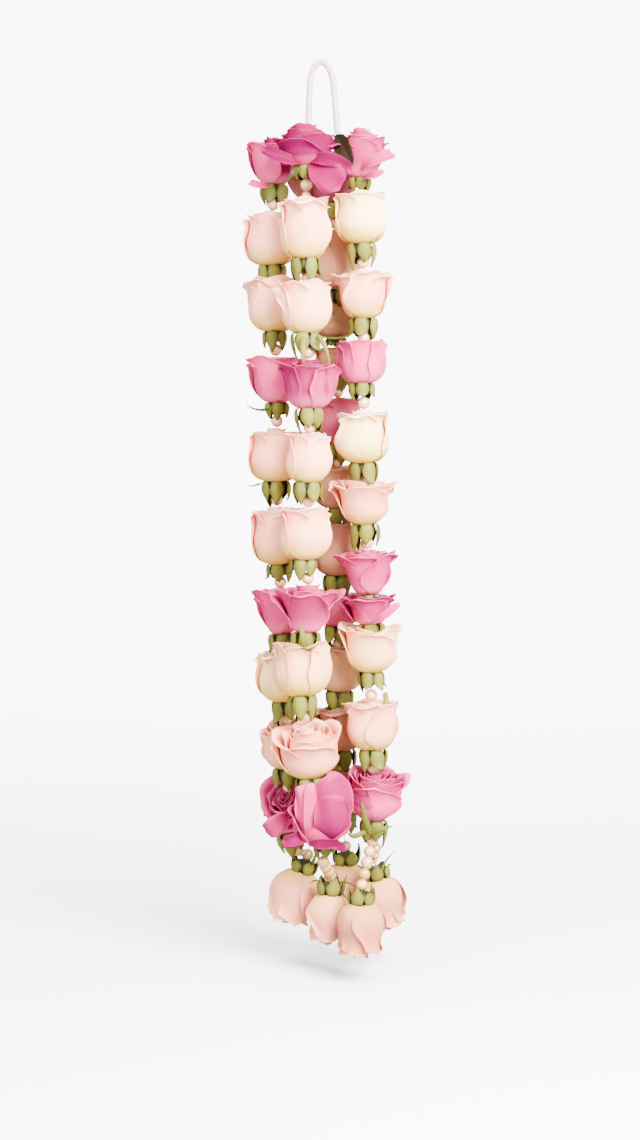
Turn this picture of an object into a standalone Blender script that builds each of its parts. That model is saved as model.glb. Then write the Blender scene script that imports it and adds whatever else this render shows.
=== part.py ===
"""Rose and pearl wedding garland: four hanging strands of rose heads threaded with pearls,
five pearl tails with roses that hang upside down, a bound knot and a cord loop to hang it by.

The design values below are in millimetres and degrees, with +Z up, -Y to the front, and the
origin inside the crown of the hanging loop. They become metres where a mesh is made."""

import math
from collections import namedtuple

import bmesh
import bpy
import numpy as np
from mathutils import Vector

MM = 0.001
GAP = 0.3

# Rose heads: five petals and five sepals, three columns of points to each
PETALS = 5
COLUMNS_A_PETAL = 3
COLUMNS = PETALS * COLUMNS_A_PETAL
HOLE_RADIUS = 1.4
PETAL_STEP = 1.7
PETAL_TWIST = 0.35
NECK = 15.5
SHORT_NECK = 7.0
FOOT_SHARES = (0.74, 0.04)
BELLY_HEIGHT = 0.31
WAIST_SHARES = (0.35, 0.60, 0.74)
HIP_RADIUS = 4.8
HIP_DEPTH = 9.0
SEPAL_BEND = (12.6, -3.4)
SEPAL_TIP = (9.6, -15.0)
SEPAL_NOTCH = (8.4, -1.2)
ROSE_TURN = 2.4
TAIL_ROSE_TURN = 0.7
MOUTH_SHARE = 0.84
MOUTH_RADIUS = 0.60
BUD_SHARE = 0.92
BUD_RADII = (0.36, 0.17)
BUD_DIMPLE = 2.4
BUD_CLEARANCE = 6.9
MOUTH_CLEARANCE = 3.5
BEND_SHARE = 0.7

# Strings and pearls
STRING_RADIUS = 0.8
STRING_SIDES = 6
PEARL_RADIUS = 5.5
KNOT_RADIUS = 2.6
KNOT_GAP = 0.6
TAIL_LEAD = 4.5

# Hanging loop: half an ellipse over the crown, and legs that slant to their feet
CORD_RADIUS = 2.8
LOOP_HALF_WIDTH = 9.4
LOOP_ARCH = 22.0
LOOP_LEFT_FOOT = 11.6
LOOP_RIGHT_FOOT = 14.6
LOOP_POINTS = 25

# Binding: a bar of wound thread under the feet of the loop
BINDING_LEFT = -16.0
BINDING_RIGHT = 17.5
BINDING_Y = 2.0
BINDING_TOP = -60.0
BINDING_HALF_DEPTH = 5.4
BINDING_HALF_HEIGHT = 6.2
BINDING_WRAPS = 9
BINDING_SIDES = 10
WRAP_GROOVE = 0.94
WRAP_END = 0.68

# Leaf
LEAF_SPINE = ((9, -4.2, -64), (11, -24, -62), (18, -40, -74), (27, -42, -93))
LEAF_FACING = (0.25, 1.0, 0.1)
LEAF_HALF_WIDTH = 6.4
LEAF_STALK_HALF_WIDTH = 0.7
LEAF_STALK_SHARE = 0.22
LEAF_THICKNESS = 0.8
LEAF_FOLD = 0.22
LEAF_TOOTH = 0.86
LEAF_STATIONS = 9

# x is where the string meets the pearl below the rose. base is how far the foot of the petals
# hangs below the origin, height goes from there to the rim, and belly and rim are radii. The
# neck is the drop from the petals' foot to the pearl's middle, and second is the radius of
# another pearl under that one. A rose nods its mouth by nod toward a compass angle, where 0
# is +X and 270 the front, and leans its rim along X.
Rose = namedtuple("Rose", "tint x base height belly rim neck nod toward lean second",
                  defaults=(NECK, 0.0, 0.0, 0.0, 0.0))
LEFT_ROSES = (
    Rose("pink", -43, 106, 41, 23.0, 24.0, nod=10, toward=350),
    Rose("blush", -42, 177, 48, 24.5, 22.0),
    Rose("blush", -41, 236, 51, 24.0, 24.5),
    Rose("pink", -40, 300, 44, 22.0, 25.5),
    Rose("blush", -40, 371, 48, 24.5, 21.5),
    Rose("blush", -37, 446, 52, 24.0, 22.5),
    Rose("pink", -35, 510, 44, 21.5, 25.0),
    Rose("cream", -32, 571, 49, 24.0, 22.0),
    Rose("blush", -30, 633, 47, 24.0, 25.0, nod=14, toward=215),
    Rose("pink", -22, 692, 42, 24.5, 24.5, nod=26, toward=230),
)
FRONT_ROSES = (
    Rose("pink", -13, 94, 34, 23.0, 28.5, second=3.8),
    Rose("blush", -12, 175, 56, 23.5, 21.5),
    Rose("blush", -11, 240, 48, 22.5, 22.5),
    Rose("pink", -10, 306, 43, 22.0, 25.0),
    Rose("blush", -11, 371, 46, 21.5, 19.5),
    Rose("blush", -12, 439, 48, 23.0, 21.0),
    Rose("pink", -14, 504, 42, 24.0, 29.5),
    Rose("cream", -12, 562, 51, 27.0, 24.0),
    Rose("blush", -7, 634, 45, 27.0, 30.5, nod=24, toward=262),
    Rose("pink", 2, 693, 50, 25.5, 26.0, nod=8, toward=300, lean=2.0),
)
BACK_ROSES = (
    Rose("pink", 9, 120, 46, 22.5, 23.0),
    Rose("blush", 12, 197, 54, 24.0, 22.0),
    Rose("cream", 14, 240, 29, 21.5, 22.0, neck=SHORT_NECK),
    Rose("blush", 15, 273, 26, 20.5, 22.0),
    Rose("pink", 15, 338, 45, 22.5, 24.0),
    Rose("blush", 15, 396, 42, 23.0, 21.5),
    Rose("blush", 15, 458, 50, 23.5, 22.0),
    Rose("pink", 16, 504, 32, 21.5, 23.5),
    Rose("cream", 17, 565, 46, 23.0, 21.5),
    Rose("blush", 20, 620, 43, 23.0, 22.0),
    Rose("pink", 20, 678, 43, 22.5, 24.0),
)
RIGHT_ROSES = (
    Rose("pink", 36, 102, 41, 23.0, 23.5, nod=8, toward=160),
    Rose("cream", 37, 160, 48, 24.0, 22.0),
    Rose("blush", 38, 226, 45, 25.0, 25.5),
    Rose("pink", 38, 284, 40, 22.0, 22.0),
    Rose("cream", 39, 354, 48, 23.5, 21.5),
    Rose("blush", 41, 409, 44, 22.0, 30.0),
    Rose("pink", 43, 472, 41, 21.0, 27.0, neck=SHORT_NECK),
    Rose("pink", 45, 503, 28, 20.5, 23.0),
    Rose("cream", 45, 546, 45, 25.5, 29.5),
    Rose("blush", 47, 612, 47, 22.5, 24.5),
    Rose("pink", 46, 678, 47, 24.0, 27.5, nod=12, toward=290, lean=4.0),
)

# A strand's string starts at the binding and bends over the mouth of the first rose at top.
Strand = namedtuple("Strand", "roses start top y turn")
STRANDS = {
    "a": Strand(LEFT_ROSES, (-16.4, 3.0, -63.0), (-44, 12, -63.5), 12, 0.2),
    "b": Strand(FRONT_ROSES, (-6.0, -3.8, -60.4), (-15, -36, -59.0), -36, 0.9),
    "c": Strand(BACK_ROSES, (9.0, 7.8, -63.0), (8, 38, -76.0), 38, 1.7),
    "d": Strand(RIGHT_ROSES, (17.9, 0.0, -62.5), (37, -14, -62.0), -14, 2.4),
}

# A tail goes on from its strand's last pearl, or from its own start beside it. It has the
# radii of its pearls from the top down, then the foot of its rose's petals, the middle of the
# mouth below it, and the rose's radii.
Tail = namedtuple("Tail", "pearls foot mouth belly rim start", defaults=(None,))
TAILS = {
    "a": Tail((3.6, 5.4), (-17, 26, -729), (-31, 27, -775), 22.5, 22.0),
    "b": Tail((5.6, 5.6, 4.8), (8, -10, -742), (5, -12, -786), 20.5, 20.5),
    "c": Tail((5.0,), (23, 38, -724), (23, 39, -769), 21.0, 20.5),
    "d": Tail((5.3, 5.8, 5.2, 5.4), (36, -44, -743), (35, -46, -789), 22.0, 22.5),
    "e": Tail((4.0, 4.2, 2.8), (51, 1, -730), (59, 2, -775), 22.5, 22.0, (51.6, -13.0, -694)),
}

PETAL_COLOURS = {
    "pink": (0.83, 0.20, 0.42),
    "blush": (0.93, 0.72, 0.66),
    "cream": (0.93, 0.86, 0.66),
}


def clear_scene():
    for obj in list(bpy.data.objects):
        bpy.data.objects.remove(obj, do_unlink=True)


def material(name, colour, roughness):
    made = bpy.data.materials.new(name)
    made.use_nodes = True
    shader = made.node_tree.nodes["Principled BSDF"]
    shader.inputs["Base Color"].default_value = (*colour, 1.0)
    shader.inputs["Roughness"].default_value = roughness
    shader.inputs["Metallic"].default_value = 0.0
    made.diffuse_color = (*colour, 1.0)
    return made


def add_object(name, data, materials):
    for made in materials:
        data.materials.append(made)
    obj = bpy.data.objects.new(name, data)
    bpy.context.scene.collection.objects.link(obj)
    return obj


def finished_mesh(name, bm):
    """The bmesh as a mesh of triangles that face outwards, shaded smooth between creases."""
    bmesh.ops.triangulate(bm, faces=[face for face in bm.faces if len(face.verts) > 3])
    bmesh.ops.recalc_face_normals(bm, faces=bm.faces)
    mesh = bpy.data.meshes.new(name)
    bm.to_mesh(mesh)
    bm.free()
    mesh.shade_smooth()
    mesh.set_sharp_from_angle(angle=math.radians(35))
    return mesh


def mesh_from_rings(name, rings, green_bands=0, capped=True):
    """A tube through rings of points, closed by a cap at each end or round onto itself.
    Points of a ring that coincide are merged, and the faces of the first green_bands bands
    take the second material."""
    bm = bmesh.new()
    loops = [[bm.verts.new(point * MM) for point in ring] for ring in rings]
    bands = list(zip(loops, loops[1:]))
    if not capped:
        bands.append((loops[-1], loops[0]))
    for index, (low, high) in enumerate(bands):
        for here in range(len(low)):
            after = (here + 1) % len(low)
            face = bm.faces.new((low[here], low[after], high[after], high[here]))
            face.material_index = 1 if index < green_bands else 0
    if capped:
        bm.faces.new(reversed(loops[0]))
        bm.faces.new(loops[-1])
    bmesh.ops.remove_doubles(bm, verts=bm.verts, dist=1e-6)
    return finished_mesh(name, bm)


def frame_around(axis, up):
    """Two unit vectors square to the axis: +X and -Y or +Y, carried along by the shortest
    turn from straight up or straight down to the axis."""
    turn = Vector((0, 0, 1 if up else -1)).rotation_difference(axis)
    return turn @ Vector((1, 0, 0)), turn @ Vector((0, 1 if up else -1, 0))


def smooth_step(value):
    value = np.clip(value, 0.0, 1.0)
    return value * value * (3.0 - 2.0 * value)


def rose_rings(rose, head_room, turn, draw):
    """The rose's rings as lists of (radius, angle, height, inside) in its own frame, with the
    petals' foot at 0 and the string's hole along the axis. Each petal's first column stands
    out over the last column of the petal before, so that they overlap in steps which wind
    round the axis as they rise. The rings run from the foot of the hole over the sepals, up
    the outer petals to the rim, down into the mouth, and over the bud to the hole's top."""
    column = np.arange(COLUMNS)
    third = column % COLUMNS_A_PETAL
    petal = column // COLUMNS_A_PETAL
    step = np.array([1.0, 0.45, -0.75])[third] * PETAL_STEP
    bud_step = np.array([-0.6, 1.0, 0.3])[third] * PETAL_STEP
    tip = np.array([-3.6, 0.0, -4.6])[third] + draw.uniform(-1.4, 1.2, PETALS)[petal]
    flare = np.array([-1.2, 0.4, -3.2])[third] + draw.uniform(-0.7, 0.7, PETALS)[petal]
    level = np.zeros(COLUMNS)
    short = rose.neck / NECK
    height, belly, rim = rose.height, rose.belly, rose.rim
    waist = WAIST_SHARES[0] * belly + WAIST_SHARES[1] * rim
    mouth = min(MOUTH_SHARE * height, head_room - MOUTH_CLEARANCE)
    bud = min(BUD_SHARE * height, head_room - BUD_CLEARANCE)

    def sepal(middle, edge):
        return np.where(third == 1, middle, edge)

    profile = [
        (HOLE_RADIUS + level, -HIP_DEPTH * short + level, 0),
        (sepal(SEPAL_TIP[0], HIP_RADIUS) * short, sepal(SEPAL_TIP[1], 0.4 - HIP_DEPTH) * short, 0),
        (sepal(SEPAL_BEND[0], SEPAL_NOTCH[0]) * (0.4 + 0.6 * short),
         sepal(SEPAL_BEND[1], SEPAL_NOTCH[1]) * short, 0),
        (FOOT_SHARES[0] * belly + 0.5 * step, FOOT_SHARES[1] * height + level, 0),
        (belly - PETAL_STEP + step, BELLY_HEIGHT * height + level, 0),
        (waist - PETAL_STEP + step, WAIST_SHARES[2] * height + level, 0),
        (rim + flare, height + tip, 0),
        (MOUTH_RADIUS * rim + 0.5 * bud_step, mouth + 0.3 * bud_step, 1),
        (BUD_RADII[0] * belly + bud_step, bud + 0.5 * bud_step, 1),
        (BUD_RADII[1] * belly + 0.2 * bud_step, bud - 0.7 * BUD_DIMPLE + level, 1),
        (HOLE_RADIUS + level, bud - BUD_DIMPLE + level, 0),
    ]
    angle = 2 * math.pi * (column + 0.5) / COLUMNS + turn
    hole_angle = 2 * math.pi * (petal + 0.5) / PETALS + turn
    rings = []
    for index, (radius, z, inside) in enumerate(profile):
        hole = index in (0, len(profile) - 1)
        at = hole_angle if hole else angle + PETAL_TWIST * z / height
        rings.append((radius, at, z, bud if inside else MOUTH_SHARE * height, hole))
    return rings


def rose_head(name, rose, foot, mouth, turn, materials, head_room):
    """One rose head on the string from foot to mouth. Above the foot it bends more and more
    towards the way that it nods, turning about a point near the mouth, or about the bud's
    own top inside it, and leans its rim along X. The hole's two rings stay on the string."""
    draw = np.random.default_rng(sum(map(ord, name)))
    axis = (mouth - foot).normalized()
    side, front = frame_around(axis, axis.z > 0)
    nod, toward = math.radians(rose.nod), math.radians(rose.toward)
    nod_x, nod_y = math.cos(toward), math.sin(toward)
    rings = []
    for radius, at, z, pivot, hole in rose_rings(rose, head_room, turn, draw):
        x, y = radius * np.cos(at), radius * np.sin(at)
        if not hole:
            weight = smooth_step(z / (BEND_SHARE * rose.height))
            bend = nod * weight
            out, up = x * nod_x + y * nod_y, z - pivot
            shift = out * (np.cos(bend) - 1) + up * np.sin(bend)
            z = pivot + up * np.cos(bend) - out * np.sin(bend)
            share = np.clip(radius / rose.rim, 0.0, 1.0) ** 2
            x = x + shift * nod_x + rose.lean * weight * share
            y = y + shift * nod_y
        rings.append([foot + side * u + front * v + axis * w for u, v, w in zip(x, y, z)])
    mesh = mesh_from_rings(name, rings, green_bands=2, capped=False)
    return add_object(name, mesh, materials)


def string_with_pearls(name, beads, materials):
    """A thin string through beads, each a (centre, radius) pair in order from the top. A
    radius of 0 is a bare bend. A pearl's profile is a rough circle on the string."""
    rings = []
    for index, (centre, radius) in enumerate(beads):
        before = beads[index - 1][0] if index else None
        after = beads[index + 1][0] if index + 1 < len(beads) else None
        outgoing = (after - centre).normalized() if after else (centre - before).normalized()
        incoming = (centre - before).normalized() if before else outgoing
        middle = (incoming + outgoing).normalized()
        stations = ((0.0, STRING_RADIUS, middle),)
        if radius:
            stations = (
                (-radius, STRING_RADIUS, incoming),
                (-0.72 * radius, 0.70 * radius, incoming),
                (0.0, radius, middle),
                (0.72 * radius, 0.70 * radius, outgoing),
                (radius, STRING_RADIUS, outgoing),
            )
        for along, wide, axis in stations:
            side, front = frame_around(axis, False)
            around = [2 * math.pi * step / STRING_SIDES for step in range(STRING_SIDES)]
            place = centre + axis * along
            rings.append([place + (side * math.cos(a) + front * math.sin(a)) * wide for a in around])
    return add_object(name, mesh_from_rings(name, rings), materials)


def hanging_loop(materials):
    """The cord's centre line as points that lie closer together towards the crown: a quarter
    ellipse on each side of it, then a leg that slants out to its foot on the binding."""
    data = bpy.data.curves.new("hanging_loop", "CURVE")
    data.dimensions = "3D"
    data.bevel_depth = CORD_RADIUS * MM
    data.bevel_resolution = 2
    data.use_fill_caps = True
    spline = data.splines.new("POLY")
    spline.points.add(LOOP_POINTS - 1)
    length = CORD_RADIUS - BINDING_TOP - GAP
    for index, point in enumerate(spline.points):
        place = 2 * index / (LOOP_POINTS - 1) - 1
        foot = LOOP_LEFT_FOOT if place < 0 else LOOP_RIGHT_FOOT
        drop = length * (1 - math.cos(abs(place) * math.pi / 2)) ** 0.86
        arch = LOOP_HALF_WIDTH * math.sqrt(1 - (1 - min(drop / LOOP_ARCH, 1.0)) ** 2)
        slant = (foot - LOOP_HALF_WIDTH) * drop / length
        x = math.copysign(arch + slant, place)
        point.co = (x * MM, 0.0, (CORD_RADIUS - drop) * MM, 1.0)
    return add_object("hanging_loop", data, materials)


def binding(materials):
    """A bar of thread wound round the cord's ends and the strings: rings along X, whose
    radius rises over each wrap and sinks between two, and is small at the ends."""
    stations = 2 * BINDING_WRAPS
    rings = []
    for index in range(stations + 1):
        wrap = 1.0 if index % 2 else WRAP_GROOVE
        wrap = WRAP_END if index in (0, stations) else wrap
        x = BINDING_LEFT + (BINDING_RIGHT - BINDING_LEFT) * index / stations
        ring = []
        for step in range(BINDING_SIDES):
            at = 2 * math.pi * step / BINDING_SIDES
            y = BINDING_Y + BINDING_HALF_DEPTH * wrap * math.cos(at)
            z = BINDING_TOP - BINDING_HALF_HEIGHT + BINDING_HALF_HEIGHT * wrap * math.sin(at)
            ring.append(Vector((x, y, z)))
        rings.append(ring)
    return add_object("binding", mesh_from_rings("binding", rings), materials)


def leaf_spine(t):
    """The midrib's point at t from 0 to 1, on a cubic through its four control points."""
    a, b, c, d = (Vector(point) for point in LEAF_SPINE)
    u = 1 - t
    return a * u**3 + b * (3 * u * u * t) + c * (3 * u * t * t) + d * t**3


def leaf_row(index):
    """Left edge, midrib and right edge of the blade at a station, and the way it faces. The
    half width swells past the stalk and closes to a point, every other station is a tooth,
    and the edges fold back a little from the midrib."""
    t = index / (LEAF_STATIONS - 1)
    centre = leaf_spine(t)
    along = (leaf_spine(min(t + 0.02, 1.0)) - leaf_spine(max(t - 0.02, 0.0))).normalized()
    across = along.cross(Vector(LEAF_FACING)).normalized()
    normal = across.cross(along)
    swell = 1.55 * float(smooth_step((t - LEAF_STALK_SHARE) / 0.35)) * (1 - t) ** 0.55
    half = LEAF_HALF_WIDTH * swell * (1.0 if index % 2 else LEAF_TOOTH)
    half = max(LEAF_STALK_HALF_WIDTH, half)
    back = normal * (-LEAF_FOLD * half)
    return (centre - across * half + back, centre, centre + across * half + back), normal


def leaf(materials):
    """A thin toothed blade whose two faces are split into triangles alike."""
    bm = bmesh.new()
    faces = ([], [])
    for index in range(LEAF_STATIONS):
        row, normal = leaf_row(index)
        for grid, shift in zip(faces, (0.5, -0.5)):
            grid.append([bm.verts.new((p + normal * LEAF_THICKNESS * shift) * MM) for p in row])
    top, bottom = faces
    for index in range(LEAF_STATIONS - 1):
        for grid in faces:
            here, after = grid[index], grid[index + 1]
            for c in range(2):
                bm.faces.new((here[c], after[c], after[c + 1]))
                bm.faces.new((here[c], after[c + 1], here[c + 1]))
        for c in (0, 2):
            bm.faces.new((top[index][c], top[index + 1][c], bottom[index + 1][c], bottom[index][c]))
    for index in (0, LEAF_STATIONS - 1):
        for c in range(2):
            bm.faces.new((top[index][c], top[index][c + 1], bottom[index][c + 1], bottom[index][c]))
    return add_object("leaf", finished_mesh("leaf", bm), materials)


def make_strand(letter, strand, petals, green):
    """The upright roses of a strand, from the top down. Each stands on the straight stretch
    between two beads of its string, which are returned."""
    above = Vector(strand.top)
    beads = [(Vector(strand.start), 0.0), (above, 0.0)]
    for number, rose in enumerate(strand.roses, 1):
        below = Vector((rose.x, strand.y, -rose.base - rose.neck))
        foot = below + (above - below).normalized() * rose.neck
        head_room = (above - foot).length
        if number == 1:
            head_room += BUD_CLEARANCE
        name = f"rose_{letter}{number:02d}"
        turn = strand.turn + ROSE_TURN * number
        rose_head(name, rose, foot, above, turn, (petals[rose.tint], green), head_room)
        beads.append((below, PEARL_RADIUS if rose.neck == NECK else 0.0))
        if rose.second:
            below = below - Vector((0, 0, PEARL_RADIUS + rose.second))
            beads.append((below, rose.second))
        above = below
    return beads


def make_tail(letter, tail, beads, petals, green):
    """Pearls that follow each other down to the tail's rose, then the rose, and the string
    through it to a stop knot in its mouth. Their beads are added to the string's."""
    foot, mouth = Vector(tail.foot), Vector(tail.mouth)
    up = (foot - mouth).normalized()
    head, radius_before = beads[-1]
    if not radius_before:
        radius_before = TAIL_LEAD
    last = foot + up * NECK
    reaches = []
    reach = 0.0
    for radius in tail.pearls:
        reach += radius_before + radius
        reaches.append(reach)
        radius_before = radius
    beads += [(head.lerp(last, place / reach), radius) for place, radius in zip(reaches, tail.pearls)]
    height = (foot - mouth).length
    rose = Rose("blush", 0, 0, height, tail.belly, tail.rim)
    name = f"rose_tail_{letter}"
    rose_head(name, rose, foot, mouth, TAIL_ROSE_TURN, (petals["blush"], green), 2 * height)
    dimple = BUD_SHARE * height - BUD_DIMPLE
    beads.append((foot - up * (dimple + KNOT_GAP + KNOT_RADIUS), KNOT_RADIUS))


def main():
    clear_scene()
    petals = {tint: material(f"petals_{tint}", PETAL_COLOURS[tint], 0.6) for tint in PETAL_COLOURS}
    green = material("sepal_green", (0.34, 0.40, 0.16), 0.55)
    pearl = material("pearl", (0.90, 0.76, 0.62), 0.25)
    strings = {}
    for letter, strand in STRANDS.items():
        strings[letter] = make_strand(letter, strand, petals, green)
    for letter, tail in TAILS.items():
        if tail.start:
            strings[letter] = [(Vector(tail.start), 0.0)]
        make_tail(letter, tail, strings[letter], petals, green)
    for letter, beads in strings.items():
        string_with_pearls(f"string_{letter}", beads, (pearl,))
    hanging_loop((material("cord_ivory", (0.91, 0.88, 0.83), 0.6),))
    binding((material("thread_white", (0.88, 0.85, 0.80), 0.8),))
    leaf((material("leaf_green", (0.22, 0.20, 0.09), 0.5),))


main()
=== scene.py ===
"""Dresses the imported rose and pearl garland: petals in layers, calyxes, pearls on their
threads, a wound binding, a leaf and a cord loop, on a pale studio sweep.

Design values are in millimetres and degrees, with +Z up and -Y to the front, and become
metres where a mesh is made."""

import math
from collections import namedtuple

import bpy
import numpy as np
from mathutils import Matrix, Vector


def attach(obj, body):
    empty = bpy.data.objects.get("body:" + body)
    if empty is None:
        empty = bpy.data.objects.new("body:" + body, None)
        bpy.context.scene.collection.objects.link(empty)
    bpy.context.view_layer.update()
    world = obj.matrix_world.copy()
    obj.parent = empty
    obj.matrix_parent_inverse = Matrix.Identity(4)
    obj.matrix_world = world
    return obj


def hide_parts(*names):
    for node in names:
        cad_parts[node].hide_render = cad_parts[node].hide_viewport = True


bl_info = {
    "name": "Rose and Pearl Garland",
    "version": (1, 0, 0),
    "blender": (4, 5, 0),
    "location": "3D View > Sidebar > Garland",
    "description": "Petals, calyxes, pearls and cord for a hanging wedding garland",
    "category": "Object",
}

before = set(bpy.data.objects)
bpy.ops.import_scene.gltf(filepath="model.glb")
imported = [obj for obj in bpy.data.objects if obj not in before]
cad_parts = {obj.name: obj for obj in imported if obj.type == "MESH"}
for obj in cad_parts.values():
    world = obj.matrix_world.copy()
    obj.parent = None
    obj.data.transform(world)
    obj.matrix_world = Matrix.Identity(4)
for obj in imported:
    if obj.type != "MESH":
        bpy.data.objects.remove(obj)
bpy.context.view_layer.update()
MM = 0.001

# Rose heads. Petals that reach past a limit in depth ease off within the room.
NECK = 15.5
SHORT_NECK = 7.0
MOUTH_SHARE = 0.84
BUD_SHARE = 0.92
BUD_DIMPLE = 2.4
BEND_SHARE = 0.7
HOLE_RADIUS = 1.6
ROSE_TURN = 2.4
TAIL_ROSE_TURN = 0.7
FIRST_ROSE_ROOM = 30.0
FRONT_LIMIT = -66.0
BACK_LIMIT = 60.0
LIMIT_ROOM = 5.8

# Strings, pearls, loop, binding and leaf
PEARL_RADIUS = 5.5
KNOT_RADIUS = 2.6
KNOT_GAP = 0.6
TAIL_LEAD = 4.5
CORD_RADIUS = 2.8
LOOP_HALF_WIDTH = 9.4
LOOP_ARCH = 22.0
LOOP_LEFT_FOOT = 11.6
LOOP_RIGHT_FOOT = 14.6
BINDING_LEFT = -16.0
BINDING_RIGHT = 17.5
BINDING_Y = 2.0
BINDING_TOP = -60.0
BINDING_HALF_DEPTH = 5.4
BINDING_HALF_HEIGHT = 6.2
BINDING_CORE_INSET = 0.6
WRAP_PITCH = 2.05
WRAP_STEPS = 20
LEAF_SPINE = ((9, -4.2, -64), (11, -24, -62), (18, -40, -74), (27, -42, -93))
LEAF_FACING = (0.25, 1.0, 0.1)
LEAF_HALF_WIDTH = 8.6
LEAF_STALK_HALF_WIDTH = 0.7
LEAF_STALK_SHARE = 0.22
LEAF_FOLD = 0.22
LEAF_TEETH = 12
LEAF_TOOTH = 0.13
LEAF_RIBS = 9
LEAF_RIB_SLANT = 2.2
LEAF_RIB_HEIGHT = 0.12

# Strands round a cord, their slant along it, its roughness and its sheen
THREAD_TWIST = (2.0, 0.8, 0.8, 0.2)
CORD_TWIST = (3.0, 0.12, 0.45, 0.5)
# Heights between which the pearls' tint goes from the tails' champagne to peach, which is also
# lighter: painted light for the pearls in the roses' shade
PEACH_FROM, PEACH_TO = -720, -690

# The stage, in metres: a floor that rises behind in a cove to a wall
FLOOR_Z = -0.815
FLOOR_HALF_WIDTH = 3.5
FLOOR_ROWS = (-2.6, -1.0)
COVE_START = 1.4
COVE_RADIUS = 0.7
WALL_Y = 2.1
WALL_HEIGHT = 3.2
# What other rays meet on the floor, and the wall's glow, which only the camera sees
FLOOR_BOUNCE = (0.16, 0.16, 0.16, 1)
WALL_GLOW = (0.97, 0.86, 1.0, 1)
WALL_GLOW_FROM, WALL_GLOW_TO = -0.1, 1.6
WALL_GLOW_STRENGTH = 5.8

# The camera's place and view, and the lights: name, place, width and power
CAMERA_PLACE = (-0.0010, -1.9, -0.3267)
CAMERA_PITCH = 86.3
IMAGE_HEIGHT = 1140
FOCAL_PIXELS = 2111
SENSOR_WIDTH = 36.0
LIGHT_AIM = (0.0, 0.0, -0.4)
LIGHTS = (
    ("key_light", (0.65, -1.12, 0.3), 1.1, 275.0),
    ("fill_light", (-1.5, -1.4, 0.3), 1.6, 85.0),
    ("top_light", (0.1, 0.2, 1.5), 2.2, 110.0),
    ("low_light", (0.25, -2.3, -0.5), 0.56, 18.0),
)
SKY_COLOUR = (0.97, 0.98, 1.0, 1.0)
SKY_STRENGTH = 1.3

# x is where the string meets the pearl below the rose. base is how far the foot of the petals
# hangs below the origin, height goes from there to the rim, and belly and rim are radii. The
# neck is the drop from the petals' foot to the pearl's middle, and second is the radius of
# another pearl under that one. A rose nods its mouth by nod toward a compass angle, where 0
# is +X and 270 the front, and leans its rim along X.
Rose = namedtuple("Rose", "tint x base height belly rim neck nod toward lean second",
                  defaults=(NECK, 0.0, 0.0, 0.0, 0.0))
LEFT_ROSES = (
    Rose("pink", -43, 106, 41, 23.0, 24.0, nod=10, toward=350),
    Rose("blush", -42, 177, 48, 24.5, 22.0),
    Rose("blush", -41, 236, 51, 24.0, 24.5),
    Rose("pink", -40, 300, 44, 22.0, 25.5),
    Rose("blush", -40, 371, 48, 24.5, 21.5),
    Rose("blush", -37, 446, 52, 24.0, 22.5),
    Rose("pink", -35, 510, 44, 21.5, 25.0),
    Rose("cream", -32, 571, 49, 24.0, 22.0),
    Rose("blush", -30, 633, 47, 24.0, 25.0, nod=14, toward=215),
    Rose("pink", -22, 692, 42, 24.5, 24.5, nod=26, toward=230),
)
FRONT_ROSES = (
    Rose("pink", -13, 94, 34, 23.0, 28.5, second=3.8),
    Rose("blush", -12, 175, 56, 23.5, 21.5),
    Rose("blush", -11, 240, 48, 22.5, 22.5),
    Rose("pink", -10, 306, 43, 22.0, 25.0),
    Rose("blush", -11, 371, 46, 21.5, 19.5),
    Rose("blush", -12, 439, 48, 23.0, 21.0),
    Rose("pink", -14, 504, 42, 24.0, 29.5),
    Rose("cream", -12, 562, 51, 27.0, 24.0),
    Rose("blush", -7, 634, 45, 27.0, 30.5, nod=24, toward=262),
    Rose("pink", 2, 693, 50, 25.5, 26.0, nod=8, toward=300, lean=2.0),
)
BACK_ROSES = (
    Rose("pink", 9, 120, 46, 22.5, 23.0),
    Rose("blush", 12, 197, 54, 24.0, 22.0),
    Rose("cream", 14, 240, 29, 21.5, 22.0, neck=SHORT_NECK),
    Rose("blush", 15, 273, 26, 20.5, 22.0),
    Rose("pink", 15, 338, 45, 22.5, 24.0),
    Rose("blush", 15, 396, 42, 23.0, 21.5),
    Rose("blush", 15, 458, 50, 23.5, 22.0),
    Rose("pink", 16, 504, 32, 21.5, 23.5),
    Rose("cream", 17, 565, 46, 23.0, 21.5),
    Rose("blush", 20, 620, 43, 23.0, 22.0),
    Rose("pink", 20, 678, 43, 22.5, 24.0),
)
RIGHT_ROSES = (
    Rose("pink", 36, 102, 41, 23.0, 23.5, nod=8, toward=160),
    Rose("cream", 37, 160, 48, 24.0, 22.0),
    Rose("blush", 38, 226, 45, 25.0, 25.5),
    Rose("pink", 38, 284, 40, 22.0, 22.0),
    Rose("cream", 39, 354, 48, 23.5, 21.5),
    Rose("blush", 41, 409, 44, 22.0, 30.0),
    Rose("pink", 43, 472, 41, 21.0, 27.0, neck=SHORT_NECK),
    Rose("pink", 45, 503, 28, 20.5, 23.0),
    Rose("cream", 45, 546, 45, 25.5, 29.5),
    Rose("blush", 47, 612, 47, 22.5, 24.5),
    Rose("pink", 46, 678, 47, 24.0, 27.5, nod=12, toward=290, lean=4.0),
)

# A strand's string starts at the binding and bends over the mouth of the first rose at top.
Strand = namedtuple("Strand", "roses start top y turn")
STRANDS = {
    "a": Strand(LEFT_ROSES, (-16.4, 3.0, -63.0), (-44, 12, -63.5), 12, 0.2),
    "b": Strand(FRONT_ROSES, (-6.0, -3.8, -60.4), (-15, -36, -59.0), -36, 0.9),
    "c": Strand(BACK_ROSES, (9.0, 7.8, -63.0), (8, 38, -76.0), 38, 1.7),
    "d": Strand(RIGHT_ROSES, (17.9, 0.0, -62.5), (37, -14, -62.0), -14, 2.4),
}

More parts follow.
